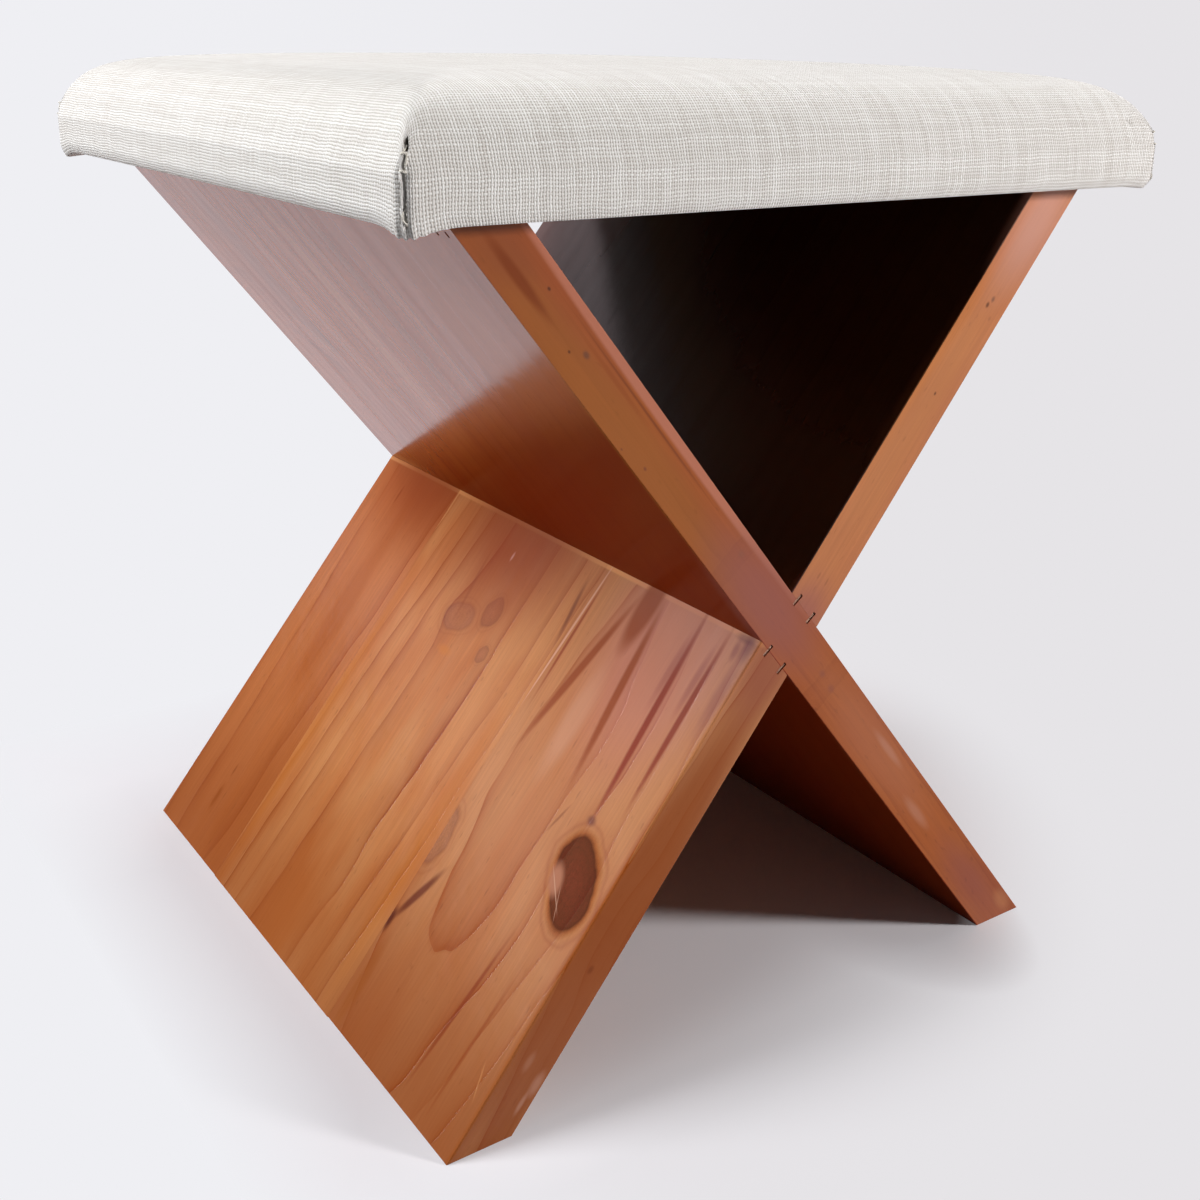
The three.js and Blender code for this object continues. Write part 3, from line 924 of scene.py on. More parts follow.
BOARD_FINISHES = {
    "through_board_rear": LacqueredPine(
        "lacquered pine, through panel, rear board",
        Growth(centre=150, drift=0.02, depth=24, spacing=14, phase=0.2),
        seed=1.0,
        dull=(JOINT_DULL,),
        late_strength=0.6,
        knots=(Knot(86, 28, 6, 9, strength=0.6), Knot(215, 60, 5, 5, strength=0.6)),
        marks=(
            JOINT_PAINTED_SHADE,
            Mark(75, 74, FACE, (75, 15, 9), "#6E3420", 0.55, core=0.6),
            Mark(126, 83, FACE, (20, 4, 6), "#3C140A", 0.8),
            Mark(142, 52, FACE, (38, 3.2, 6), "#4A1C0E", 0.7, turn=52),
            Mark(128, 60, FACE, (26, 14, 6), "#B87A56", 0.5, turn=48, core=0.5),
        ),
    ),
    "through_board_middle": LacqueredPine(
        "lacquered pine, through panel, middle board",
        Growth(centre=40, drift=-0.02, depth=60, spacing=13, phase=0.1),
        seed=2.0,
        dull=(JOINT_DULL,),
        late_strength=0.6,
        marks=(
            JOINT_PAINTED_SHADE,
            Mark(60, 122, FACE, (60, 2.6, 6), "#5A2814", 0.6),
            Mark(85, 171, FACE, (90, 7, 6), "#C08A5C", 0.5, core=0.6),
            Mark(70, 190, FACE, (70, 9, 6), "#8A4A2A", 0.4),
        ),
    ),
    "through_board_front": LacqueredPine(
        "lacquered pine, through panel, front board",
        Growth(centre=420, drift=-0.03, depth=60, spacing=17, phase=0.4),
        seed=3.0,
        dull=(JOINT_DULL,),
        late_strength=0.35,
        early="#A45622",
        warm="#9C4E28",
        knots=(Knot(205, 368, 6, 8, strength=0.25), Knot(298, 371, 7, 8, strength=0.2)),
        marks=(
            JOINT_PAINTED_SHADE,
            Mark(75, 226, FACE, (75, 7.5, 6), "#743A22", 0.5, core=0.6),
            Mark(75, 262, FACE, (60, 3, 6), "#6E3420", 0.35),
            Mark(70, 250, FACE, (60, 2.5, 6), "#6E3420", 0.35),
            Mark(110, EDGE, -6, (170, 4, 16), "#9E6028", 0.55, core=0.3),
            Mark(20, EDGE, 0, (30, 4, 16), "#8E4A26", 0.6, core=0.3),
            Mark(36, EDGE, -3, (30, 12, 3.4), "#7E3606", 0.85, core=0.3),
            Mark(98, EDGE, 4, (34, 12, 1.6), "#8E4418", 0.5),
            # Painted highlight: a pale pink strip along one arris of the front edge, down to the crossing
            Mark(130, EDGE, 12.2, (150, 2, 4.6), "#C07A62", 0.8, core=0.6),
            Mark(120, EDGE, 6.8, (70, 2, 0.8), "#7A3A18", 0.7, core=0.3),
            Mark(236, EDGE, 0, (72, 14, 26), "#985A52", 0.75, core=0.15),
            Mark(350, EDGE, 2, (90, 8, 20), "#B4704E", 0.5, core=0.2),
            Mark(362, EDGE, 6, (22, 6, 3), "#C89A88", 0.28),
            Mark(410, EDGE, -2, (20, 6, 4), "#C89A88", 0.25),
            Mark(480, EDGE, 0, (60, 12, 14), "#8E4C40", 0.55, core=0.1),
            Mark(516, EDGE, 8, (14, 12, 6), "#BC7A4E", 0.5),
            pit(48.5, 4.3, 1.1),
            pit(73.5, -4.2, 0.9),
            pit(80, 0.6, 2.2, "#6E4430"),
            pit(122, -11, 0.8, "#7A4026"),
            pit(137, -8, 1.2, "#7A4026"),
            pit(206, 4, 2.6, "#8A5644", 0.45),
            pit(292, 1.5, 2.6, "#8A5040", 0.5),
            pit(303, 0.5, 3.0, "#8A5040", 0.5),
        ),
    ),
    "lower_board_rear": LacqueredPine(
        "lacquered pine, lower panel, rear board",
        Growth(centre=50, drift=0.0, depth=76.6, taper=0.0175, spacing=8.8),
        early="#B46A3A",
        warm="#AC602E",
        late="#8E3C08",
        late_strength=0.9,
        dull=(REAR_DULL,),
        seed=4.0,
        marks=(
            Mark(280, 50, FACE, (130, 400, 9), "#86400E", 0.5, core=0.2),
            PALE_ARRIS,
            Mark(95, 50, FACE, (80, 14, 12), "#A05014", 0.6, core=0.4),
            Mark(20, 34, FACE, (9, 1.6, 6), "#7A3812", 0.7),
            Mark(232, 45.5, FACE, (12, 3.2, 8), "#8A4210", 0.75),
            Mark(213, 46.5, FACE, (6, 1.4, 6), "#7A3812", 0.6),
            Mark(185, 80, FACE, (70, 20, 12), "#9A5220", 0.3),
            Mark(0, 60, FACE, (68, 78, 12), "#8C380A", 0.8, core=0.15),
        ),
    ),
    "lower_board_middle": LacqueredPine(
        "lacquered pine, lower panel, middle board",
        Growth(centre=184, drift=-0.055, depth=77.3, spacing=8.8, phase=0.36),
        early="#C2814E",
        warm="#B66A34",
        late="#8E3E08",
        late_strength=0.95,
        dull=(REAR_DULL,),
        seed=5.0,
        knots=(
            Knot(52, 185, 10, 7.5, turn=-12, strength=0.6),
            Knot(63, 160, 10, 14, turn=15, strength=0.5, heart=Heart.SMEAR),
            Knot(74, 197, 5.5, 4.5, turn=-15, strength=0.5),
        ),
        marks=(
            Mark(280, 170, FACE, (130, 400, 9), "#86400E", 0.5, core=0.2),
            PALE_ARRIS,
            Mark(0, 170, FACE, (80, 100, 14), "#90380A", 0.8, core=0.2),
            Mark(150, 95.5, FACE, (130, 7, 14), "#B86A22", 0.45, core=0.2),
            Mark(160, 239, FACE, (120, 10, 14), "#BC6E26", 0.4, core=0.2),
            Mark(30, 243, FACE, (26, 2.4, 8), "#6A3016", 0.7, turn=8),
            Mark(20, 173, FACE, (4, 1.3, 6), "#C88C7C", 0.8),
            Mark(83, 165, FACE, (4, 10, 6), "#C07028", 0.6),
            Mark(240, 180, FACE, (40, 30, 14), "#A45A26", 0.5),
            Mark(45, 155, FACE, (30, 2, 8), "#8A4018", 0.5, turn=6),
        ),
    ),
    "lower_board_front": LacqueredPine(
        "lacquered pine, lower panel, front board",
        Growth(centre=290, drift=0.0, depth=77.34, bow=0.00036, bow_from=96, spacing=8.8, phase=0.32),
        early="#BC7E50",
        warm="#B67244",
        late="#94420A",
        late_strength=1.0,
        seed=6.0,
        dull=(
            Mark(136, 348, FACE, (28, 19, 8), "#000000", 0.85, turn=32, core=0.75),
            Mark(210, EDGE, 0, (210, 4, 20), "#000000", 0.6, core=0.6),
            Mark(130, EDGE, FACE, (280, 1.4, 1.4), "#000000", 1.0, core=0.8),
        ),
        knots=(
            Knot(136, 348, 23, 15.5, turn=32, heart=Heart.SOUND, bend=0.45, strength=0.92),
            Knot(160, 248, 17, 9, strength=0.6, heart=Heart.SMEAR, bend=0.3),
        ),
        marks=(
            Mark(285, 310, FACE, (140, 400, 9), "#863C0A", 0.65, core=0.2),
            PALE_ARRIS,
            # Painted reflection: a pinkish sheen at the top of the front board
            Mark(22, 322, FACE, (90, 66, 8), "#C27E6C", 0.65, core=0.3),
            Mark(8, 292, FACE, (34, 9.5, 8), "#8E3E0A", 0.9, core=0.5),
            Mark(55, 272.5, FACE, (60, 3.8, 8), "#8E3E0A", 0.9, turn=-13, core=0.4),
            Mark(54, 306.5, FACE, (60, 3.8, 8), "#8E3E0A", 0.9, turn=6, core=0.4),
            Mark(76, 289, FACE, (40, 11, 8), "#C89070", 0.6, core=0.3),
            Mark(54, 334.5, FACE, (72, 3.0, 8), "#862808", 0.92, turn=3, core=0.4),
            Mark(30, 329.5, FACE, (30, 3.4, 8), "#8A3E3A", 0.45),
            Mark(48, 352.3, FACE, (58, 2.7, 8), "#862A0A", 0.9, turn=1, core=0.4),
            Mark(30, 347.5, FACE, (26, 3.4, 8), "#84383A", 0.45),
            Mark(38, 246.5, FACE, (48, 1.6, 8), "#76280C", 0.8, turn=-2, core=0.3),
            Mark(42, 253.6, FACE, (46, 1.6, 8), "#8A3410", 0.8, core=0.3),
            Mark(40, 250.4, FACE, (56, 1.0, 8), "#D8A488", 0.75, turn=-3, core=0.5),
            Mark(212, 327, FACE, (52, 1.9, 8), "#84340C", 0.8, turn=-6, core=0.3),
            Mark(220, 346, FACE, (48, 1.6, 8), "#8A3A10", 0.5, turn=-3, core=0.3),
            Mark(189, 258, FACE, (25, 3.4, 8), "#62200A", 0.85, turn=-24, core=0.35),
            Mark(207, 249.5, FACE, (10, 3.4, 8), "#4E160A", 0.85),
            Mark(240, 256, FACE, (34, 6, 10), "#96501C", 0.6, core=0.3),
            Mark(5, 366, FACE, (12, 5.5, 3), "#6A1E2A", 0.72, core=0.1),
            Mark(9, 360, FACE, (8, 3, 8), "#7A2A30", 0.55, turn=6),
            Mark(2, 362, FACE, (3.5, 9, 3), "#5E1A22", 0.6),
            Mark(30, 366, FACE, (30, 6, 8), "#8A4844", 0.45),
            Mark(109, 337, FACE, (3.5, 4.5, 8), "#6A3428", 0.75),
            Mark(117, 317, FACE, (12, 1.2, 8), "#7A3C1C", 0.6, turn=-18),
            Mark(140, 337, FACE, (11, 6.5, 8), "#B47A60", 0.85, turn=30, core=0.35),
            Mark(143.5, 340, FACE, (15, 0.45, 8), "#C89C84", 0.6, turn=50, core=0.5),
            Mark(148, 346, FACE, (10, 0.4, 8), "#C09078", 0.5, turn=28, core=0.5),
            Mark(228, 362, FACE, (12, 0.8, 8), "#D0905A", 0.4, turn=20),
            pit(163, 1.3, 2.4),
            Mark(150, EDGE, 2, (170, 6, 22), "#8A4016", 0.75, core=0.5),
            Mark(4, EDGE, 0, (46, 6, 24), "#94503A", 0.75, core=0.2),
            Mark(218, EDGE, 9, (9, 6, 4), "#CFA08A", 0.35),
            Mark(228, EDGE, 7, (8, 6, 2), "#CFA08A", 0.35),
            Mark(210, EDGE, -2, (7, 6, 3), "#C08A70", 0.3),
        ),
    ),
    "upper_board_rear": LacqueredPine(
        "lacquered pine, upper panel, rear board",
        Growth(centre=20, drift=0.0, depth=26, spacing=14, phase=0.2),
        seed=7.0,
        haze=0.2,
        dull=(INNER_DULL,),
        late_strength=0.8,
        marks=(
            painted_shade_in_v(45, 160),
            # Painted reflection: pale pinkish grey at the rear of the V's face, where the lacquer mirrors the
            # backdrop
            Mark(30, 0, FACE, (200, 130, 9), "#86605C", 0.65, core=0.1),
        ),
    ),
    "upper_board_middle": LacqueredPine(
        "lacquered pine, upper panel, middle board",
        Growth(centre=250, drift=0.03, depth=30, spacing=15, phase=0.5),
        seed=8.0,
        haze=0.2,
        dull=(INNER_DULL,),
        late_strength=0.8,
        marks=(painted_shade_in_v(170, 240),),
    ),
    "upper_board_front": LacqueredPine(
        "lacquered pine, upper panel, front board",
        Growth(centre=160, drift=0.0, depth=50, spacing=18, phase=0.1),
        seed=9.0,
        haze=0.2,
        dull=(INNER_DULL,),
        early="#C07A4C",
        warm="#B87048",
        late_strength=0.4,
        marks=(
            painted_shade_in_v(300, 240),
            # Painted reflection: a pale pink sheen at the top of the front edge, just under the seat
            Mark(8, EDGE, 0, (60, 8, 22), "#CF9A88", 0.75, core=0.1),
            Mark(110, EDGE, 0, (90, 10, 18), "#B87848", 0.4, core=0.1),
            Mark(234, EDGE, 0, (34, 8, 22), "#9A5C56", 0.75, core=0.15),
            pit(54, 1.5, 1.8, "#7E5440"),
            pit(58, 0.2, 1.7, "#56301E"),
            pit(107.5, 0.6, 1.1, "#56301E"),
            pit(62, 6, 1.4, "#8E5A3C", 0.4),
        ),
    ),
}


@dataclass(frozen=True)
class Crease:
    """A short fold pressed into the cloth near a corner, between two points in millimetres."""

    start: Triple
    end: Triple
    half_width: float
    depth: float


@dataclass(frozen=True)
class CornerSeam:
    """The hand-sewn line where the cloth of one side is folded over the next at a corner.

    A corner has its own axes: along the side that carries the seam, and in from that side.
    """

    corner: tuple[float, float]
    turn: float
    offset: float = 0.95
    depth: float = 2.4
    bottom: float = 1.0
    top: float = 31.0
    reach: float = 16.0
    lip: tuple[float, float, float] = (-1.05, 0.55, 0.45)
    turned: tuple[float, float, float] = (0.95, 0.4, 0.18)
    lip_shade: float = 0.22

    def local(self, points: np.ndarray) -> tuple[np.ndarray, np.ndarray]:
        """Turns places in the plan to the corner's own axes.

        Args:
            points: The points in millimetres.

        Returns:
            How far they are from the corner along the side, and in from it.
        """
        x, y = points[:, 0] - self.corner[0], points[:, 1] - self.corner[1]
        cos, sin = math.cos(self.turn), math.sin(self.turn)
        return x * cos + y * sin, y * cos - x * sin

    def world(self, along: float, inward: float, height: float) -> Vector:
        """Turns a point in the corner's own axes to the stool's.

        Args:
            along: How far it is from the corner along the side.
            inward: How far it is in from the side.
            height: Its height over the seat's underside.

        Returns:
            The point in millimetres.
        """
        cos, sin = math.cos(self.turn), math.sin(self.turn)
        x = self.corner[0] + along * cos - inward * sin
        return Vector((x, self.corner[1] + along * sin + inward * cos, height))

    def line(self, height: np.ndarray | float) -> np.ndarray | float:
        """Gives the seam's offset from the corner at a height, a little unsteady as sewn by hand."""
        return self.offset + 0.22 * np.sin(0.55 * height + 1.0 + self.turn) + 0.12 * np.sin(1.7 * height)

    def press(self, points: np.ndarray) -> tuple[np.ndarray, np.ndarray]:
        """Folds the cloth in along the seam, with a fuller lip on the side that laps over.

        Args:
            points: The cloth's points in millimetres, heights over the seat's underside.

        Returns:
            How far each point moves, and how dark it is painted, from 0 to 1: the fold's raw inside with its
            shade, and a lighter painted shade on the lip.
        """
        along, inward = self.local(points)
        height = points[:, 2]
        aside = along - inward - self.line(height)
        # The fold gapes a little below its top and closes to nothing at both ends
        gape_heights = (self.bottom, 3, 24.6, 27.2, 29.2, self.top)
        half = np.interp(height, gape_heights, (0.3, 0.42, 0.44, 0.95, 0.75, 0.05))
        end_heights = (self.bottom - 1, self.bottom + 1.5, self.top - 2.2, self.top)
        ends = np.interp(height, end_heights, (0, 1, 1, 0))
        near = (np.hypot(along, inward) < self.reach) & (height > 0)
        share = np.clip((1.45 - np.abs(aside) / half) / 0.9, 0, 1)
        sunk = share * share * (3 - 2 * share) * ends * near
        beside = ends * near * (1 - sunk)
        lip, turned = (
            np.exp(-(((aside - at) / width) ** 2)) * beside for at, width, _ in (self.lip, self.turned)
        )
        move = (self.depth * sunk - self.lip[2] * lip - self.turned[2] * turned) / math.sqrt(2)
        cos, sin = math.cos(self.turn), math.sin(self.turn)
        shift = np.stack([move * (cos - sin), move * (sin + cos), 0 * move], axis=1)
        return shift, np.maximum(sunk, self.lip_shade * lip)


@dataclass
class SeamThread:
    """Two-ply cotton thread, laid by hand across and inside a corner seam.

    Its path is a given list, of how far aside of the seam the thread runs, at what
    height over the seat's underside and how far out of the cloth.
    """

    ply: float = 0.23
    twist: float = 1.3
    step: float = 0.14
    path: tuple[Triple, ...] = (
        (-0.2, 27.5, -1.8),
        (-0.7, 26.2, -0.9),
        (-1.4, 25.0, 0.5),
        (-0.6, 25.1, 1.1),
        (0.4, 25.2, 0.9),
        (0.95, 25.2, 0.2),
        (0.8, 24.4, 0.2),
        (0.72, 22.8, 0.25),
        (0.7, 21.4, 0.15),
        (0.3, 20.2, -0.5),
        (-0.4, 19.7, -0.7),
        (-1.3, 19.5, 0.5),
        (-0.4, 19.4, 1.1),
        (0.6, 19.3, 0.8),
        (1.15, 18.8, -0.1),
        (0.4, 17.2, -1.0),
        (0.0, 13.5, -1.5),
        (0.1, 9.5, -1.4),
        (-0.2, 7.2, -1.1),
        (-0.7, 5.6, 0.1),
        (-0.9, 4.2, 0.5),
        (-0.3, 3.0, 0.65),
        (0.45, 2.2, 0.3),
        (0.4, 1.3, -0.6),
    )

    def build(self, name: str, seam: CornerSeam, cloth: BVHTree, under: float) -> bpy.types.Object:
        """Lays one corner's thread on the cloth.

        Args:
            name: The piece's name.
            seam: The seam that it closes.
            cloth: The cloth's surface before the seam was folded in, in millimetres.
            under: The height of the seat's underside.

        Returns:
            The finished thread.
        """
        way = seam.world(1, 1, 0) - seam.world(0, 0, 0)
        way.normalize()
        points = []
        for aside, height, out in self.path:
            start = seam.world(seam.line(height) + aside, 0, height) - way * 30
            hit = cloth.ray_cast(start, way)[0]
            points.append(np.array(hit - way * out))
        points = self.smooth(np.array(points))
        curve = bpy.data.curves.new(name, "CURVE")
        curve.dimensions = "3D"
        curve.bevel_depth = self.ply * MM
        curve.bevel_resolution = 1
        curve.use_fill_caps = True
        for phase in (0.0, math.pi):
            spline = curve.splines.new("POLY")
            laid = self.ply_points(points, phase)
            spline.points.add(len(laid) - 1)
            for point, place in zip(spline.points, laid):
                point.co = (*(place + (0, 0, under)) * MM, 1)
        piece = bpy.data.objects.new(name, curve)
        bpy.context.scene.collection.objects.link(piece)
        select_only(piece)
        bpy.ops.object.convert(target="MESH")
        piece = bpy.context.active_object
        bpy.ops.object.shade_smooth()
        return piece

    def smooth(self, points: np.ndarray) -> np.ndarray:
        """Runs a smooth curve through points.

        Args:
            points: The points, in millimetres.

        Returns:
            Points along the curve, in even steps.
        """
        line = []
        padded = np.vstack([points[:1], points, points[-1:]])
        for p0, p1, p2, p3 in zip(padded, padded[1:], padded[2:], padded[3:]):
            for t in np.linspace(0, 1, 12, endpoint=False):
                square, cube = 2 * p0 - 5 * p1 + 4 * p2 - p3, 3 * p1 - p0 - 3 * p2 + p3
                line.append(0.5 * (2 * p1 + (p2 - p0) * t + square * t**2 + cube * t**3))
        line = np.array(line + [points[-1]])
        run = np.concatenate([[0], np.cumsum(np.linalg.norm(np.diff(line, axis=0), axis=1))])
        even = np.arange(0, run[-1], self.step)
        return np.stack([np.interp(even, run, line[:, i]) for i in range(3)], axis=1)

    def ply_points(self, points: np.ndarray, phase: float) -> np.ndarray:
        """Winds one ply round the thread's path.

        Args:
            points: The path, in even steps.
            phase: Where round the path the ply starts.

        Returns:
            The ply's own middle line.
        """
        forward = np.gradient(points, axis=0)
        forward /= np.linalg.norm(forward, axis=1)[:, None]
        side = np.array([1.0, 0.3, 0.2])
        laid = []
        for i, (point, way) in enumerate(zip(points, forward)):
            side = side - way * side.dot(way)
            side /= np.linalg.norm(side)
            other = np.cross(way, side)
            angle = 2 * math.pi * i * self.step / self.twist + phase
            laid.append(point + 0.8 * self.ply * (side * math.cos(angle) + other * math.sin(angle)))
        return np.array(laid)


@dataclass
class Cushion:
    """The square seat: linen over wadding and foam on a plywood board, crowned and roll-edged."""

    under: float = 400.0
    width: float = 398.8
    depth: float = 414.7
    drawn_in: float = 1.5
    rim: float = 18.5
    roll_rise: float = 27.0
    roll_reach: float = 9.0
    crown_rise: float = 10.0
    crown_reach: float = 60.0
    corner_blend: float = 6.0
    corner_back: float = 1.757
    corner_round: float = 2.1
    under_roll: float = 2.2
    under_roll_height: float = 6.5
    cloth: float = 1.2
    wadding: float = 3.8
    layer_gap: float = 0.15
    board_floor: float = 1.5
    foam_floor: float = 16.7
    margin: float = 62.0
    corner_sag: float = 3.5
    corner_sag_reach: float = 11.5
    sag_flat: float = 2.0
    sag_end: float = 18.0
    right_share: float = 0.35
    most_swell: float = 1.2
    pressure: float = 4.0
    settling: int = 20
    follow_reach: float = 5.0
    neighbours: int = 10
    coarse: float = 6.0
    corner_run: float = 36.0
    corner_steps: tuple[Triple, ...] = ((0, 3, 0.25), (3, 7, 0.4), (7, 12, 1.0))
    corner_rest: int = 17
    under_insets: tuple[float, ...] = (3.5, 6.0, 9.0, 13.0, 18.0, 25.0, 33.0, 42.0, 52.0)
    crease_middle: Triple = (0.0, 0.0, 12.0)
    creases: tuple[Crease, ...] = ()

    def seams(self) -> dict[str, CornerSeam]:
        """Gives the four corner seams, each on the next side round.

        Returns:
            The seams by their corner's name.
        """
        x, y = self.width / 2, self.depth / 2
        return {
            "front_left": CornerSeam((-x, -y), 0.0),
            "front_right": CornerSeam((x, -y), math.pi / 2),
            "rear_right": CornerSeam((x, y), math.pi),
            "rear_left": CornerSeam((-x, y), -math.pi / 2),
        }

    def reach_in(self, x: np.ndarray, y: np.ndarray) -> np.ndarray:
        """Measures how far points of the plan are in from the rim, blended at the corners.

        Args:
            x: Their places from left to right.
            y: Their places from front to rear.

        Returns:
            The distances, in millimetres.
        """
        half_x, half_y = self.width / 2, self.depth / 2
        in_x = np.maximum(1e-6, half_x - self.drawn_in * (1 - (y / half_y) ** 2) - np.abs(x))
        in_y = np.maximum(1e-6, half_y - self.drawn_in * (1 - (x / half_x) ** 2) - np.abs(y))
        return (in_x**-self.corner_blend + in_y**-self.corner_blend) ** (-1 / self.corner_blend)

    def rise(self, reach: np.ndarray) -> np.ndarray:
        """Gives the height over the rim at a distance in from it."""
        roll = self.roll_rise * (1 - np.exp(-reach / self.roll_reach))
        return roll + self.crown_rise * (1 - np.exp(-reach / self.crown_reach))

    def steps(self, half: float, fine: bool) -> np.ndarray:
        """Divides one side from end to end.

        Args:
            half: Half the side's length.
            fine: Whether it is divided finely near the corners, where a seam follows.

        Returns:
            The places along the side.
        """
        if not fine:
            return np.linspace(-half, half, round(2 * half / self.coarse) + 1)
        corner = [np.arange(start, end, step) for start, end, step in self.corner_steps]
        rest = np.linspace(self.corner_steps[-1][1], self.corner_run, self.corner_rest)
        corner = np.concatenate([*corner, rest])
        inner = half - self.corner_run
        middle = np.linspace(-inner, inner, round(2 * inner / self.coarse) + 1)[1:-1]
        return np.concatenate([-half + corner, middle, (half - corner)[::-1]])

    def plan(self, x: np.ndarray, y: np.ndarray) -> tuple[np.ndarray, np.ndarray]:
        """Draws the sides in between the corners and rounds the corners.

        Args:
            x: Places from left to right on a plain oblong.
            y: Places from front to rear on it.

        Returns:
            The same places on the seat.
        """
        half_x, half_y = self.width / 2, self.depth / 2
        away = (half_x - np.abs(x)) ** 2 + (half_y - np.abs(y)) ** 2
        near = np.exp(-away / (2 * self.corner_round**2))
        new_x = self.drawn(x, y, half_x, half_y) - np.sign(x) * self.corner_back * near
        new_y = self.drawn(y, x, half_y, half_x) - np.sign(y) * self.corner_back * near
        return new_x, new_y

    def drawn(self, value: np.ndarray, other: np.ndarray, half: float, other_half: float) -> np.ndarray:
        """Moves one coordinate in towards the middle, most halfway between the corners."""
        return value * (1 - self.drawn_in * (1 - (other / other_half) ** 2) / half)

    def shell(self, name: str, fine: bool) -> bpy.types.Object:
        """Makes the cloth as one surface: the crowned top, the upright sides and the margin below.

        Args:
            name: The piece's name.
            fine: Whether it is divided finely enough for the corner seams.

        Returns:
            The cloth, with a UV map in metres of flat cloth.
        """
        xs, ys = self.steps(self.width / 2, fine), self.steps(self.depth / 2, fine)
        grid_x, grid_y = np.meshgrid(xs, ys, indexing="ij")
        plan_x, plan_y = self.plan(grid_x, grid_y)
        half_x, half_y = self.width / 2, self.depth / 2
        across = self.drawn(grid_x, grid_y, half_x, half_y)
        through = self.drawn(grid_y, grid_x, half_y, half_x)
        reach = self.reach_in(across, through)
        top_z = self.rim + self.rise(np.where(reach < 1e-4, 0, reach))
        flat = self.flat_cloth(grid_x, grid_y, top_z).reshape(-1, 2)
        nx, ny = len(xs), len(ys)
        number = np.arange(nx * ny).reshape(nx, ny)
        quads = [number[:-1, :-1], number[1:, :-1], number[1:, 1:], number[:-1, 1:]]
        faces = np.stack(quads, axis=-1).reshape(-1, 4).tolist()
        uvs = [flat[face] for face in faces]
        verts = [np.stack([plan_x, plan_y, top_z], axis=-1).reshape(-1, 3)]
        border = np.concatenate([number[:-1, 0], number[-1, :-1], number[:0:-1, -1], number[0, :0:-1]])
        sides = [(0, -1), (1, 0), (0, 1), (-1, 0)]
        outward = np.repeat(sides, [nx - 1, ny - 1, nx - 1, ny - 1], axis=0)
        rim_x, rim_y = plan_x.ravel()[border], plan_y.ravel()[border]
        count = len(border)
        following = np.roll(np.arange(count), -1)
        start, end = flat[border], flat[border[following]]
        loop, above = border, 0.0
        for row, (inset, height, travelled) in enumerate(self.rows(fine)):
            ring = self.ring(rim_x, rim_y, inset, height)
            below = nx * ny + row * count + np.arange(count)
            faces += np.stack([loop, below, below[following], loop[following]], axis=1).tolist()
            up, down = outward * above, outward * travelled
            uvs += list(np.stack([start + up, start + down, end + down, end + up], axis=1))
            verts.append(ring)
            loop, above = below, travelled
        return self.as_piece(name, np.concatenate(verts), faces, np.concatenate(uvs))

    def ring(self, rim_x: np.ndarray, rim_y: np.ndarray, inset: float, height: float) -> np.ndarray:
        """Lays one row of points round the seat, lower near the corners where the cloth sags.

        Args:
            rim_x: The rim's places from left to right.
            rim_y: The rim's places from front to rear.
            inset: How far in the row lies.
            height: Its height over the seat's underside.

        Returns:
            The row's points.
        """
        upright = 1 - max(0.0, height) / self.rim
        fade = max(0.0, 1 - max(0.0, inset - self.sag_flat) / self.sag_end)
        sag = self.sag(rim_x, rim_y) * upright * fade
        x, y = rim_x * (1 - inset / (self.width / 2)), rim_y * (1 - inset / (self.depth / 2))
        return np.stack([x, y, height - sag], axis=1)

    def rows(self, fine: bool) -> list[Triple]:
        """Lists the rows of points from the rim down and in under the seat.

        Args:
            fine: Whether the upright side is divided finely enough for the corner seams.

        Returns:
            Each row's distance in, its height and the cloth's length from the rim to it.
        """
        heights = np.arange(17.5, 1, -1.0) if fine else np.arange(14, 2, -4.0)
        rows = []
        for height in [*heights, 1.0, 0.5, 0.1]:
            inset = self.under_roll * (1 - min(1.0, height / self.under_roll_height)) ** 2
            rows.append((inset, float(height), self.rim - float(height)))
        for inset in (*self.under_insets, self.margin):
            rows.append((inset, 0.0, self.rim + inset))
        return rows

    def as_piece(self, name: str, points: np.ndarray, faces: list, flat: np.ndarray) -> bpy.types.Object:
        """Makes a mesh of the cloth.

        Args:
            name: The piece's name.
            points: Its points in millimetres, heights over the seat's underside.
            faces: The numbers of each face's points.
            flat: Each face corner's place on the flat cloth, in millimetres.

        Returns:
            The piece, linked to the scene.
        """
        mesh = bpy.data.meshes.new(name)
        mesh.from_pydata(((points + (0, 0, self.under)) * MM).tolist(), [], faces)
        layer = mesh.uv_layers.new(name="cloth")
        layer.data.foreach_set("uv", (flat * MM).astype(np.float32).ravel())
        piece = bpy.data.objects.new(name, mesh)
        bpy.context.scene.collection.objects.link(piece)
        return piece

    def run_along(self, grid: np.ndarray, height: np.ndarray, axis: int) -> np.ndarray:
        """Measures the cloth from the middle outwards, over the crown and down the roll.

        Args:
            grid: The points' places along the axis.
            height: Their heights.
            axis: 0 from left to right, 1 from front to rear.

        Returns:
            The lengths, negative on the near side of the middle.
        """
        length = np.cumsum(np.hypot(np.diff(grid, axis=axis), np.diff(height, axis=axis)), axis=axis)
        length = np.concatenate([np.zeros_like(np.take(length, [0], axis=axis)), length], axis=axis)
        return length - np.take(length, [length.shape[axis] // 2], axis=axis)

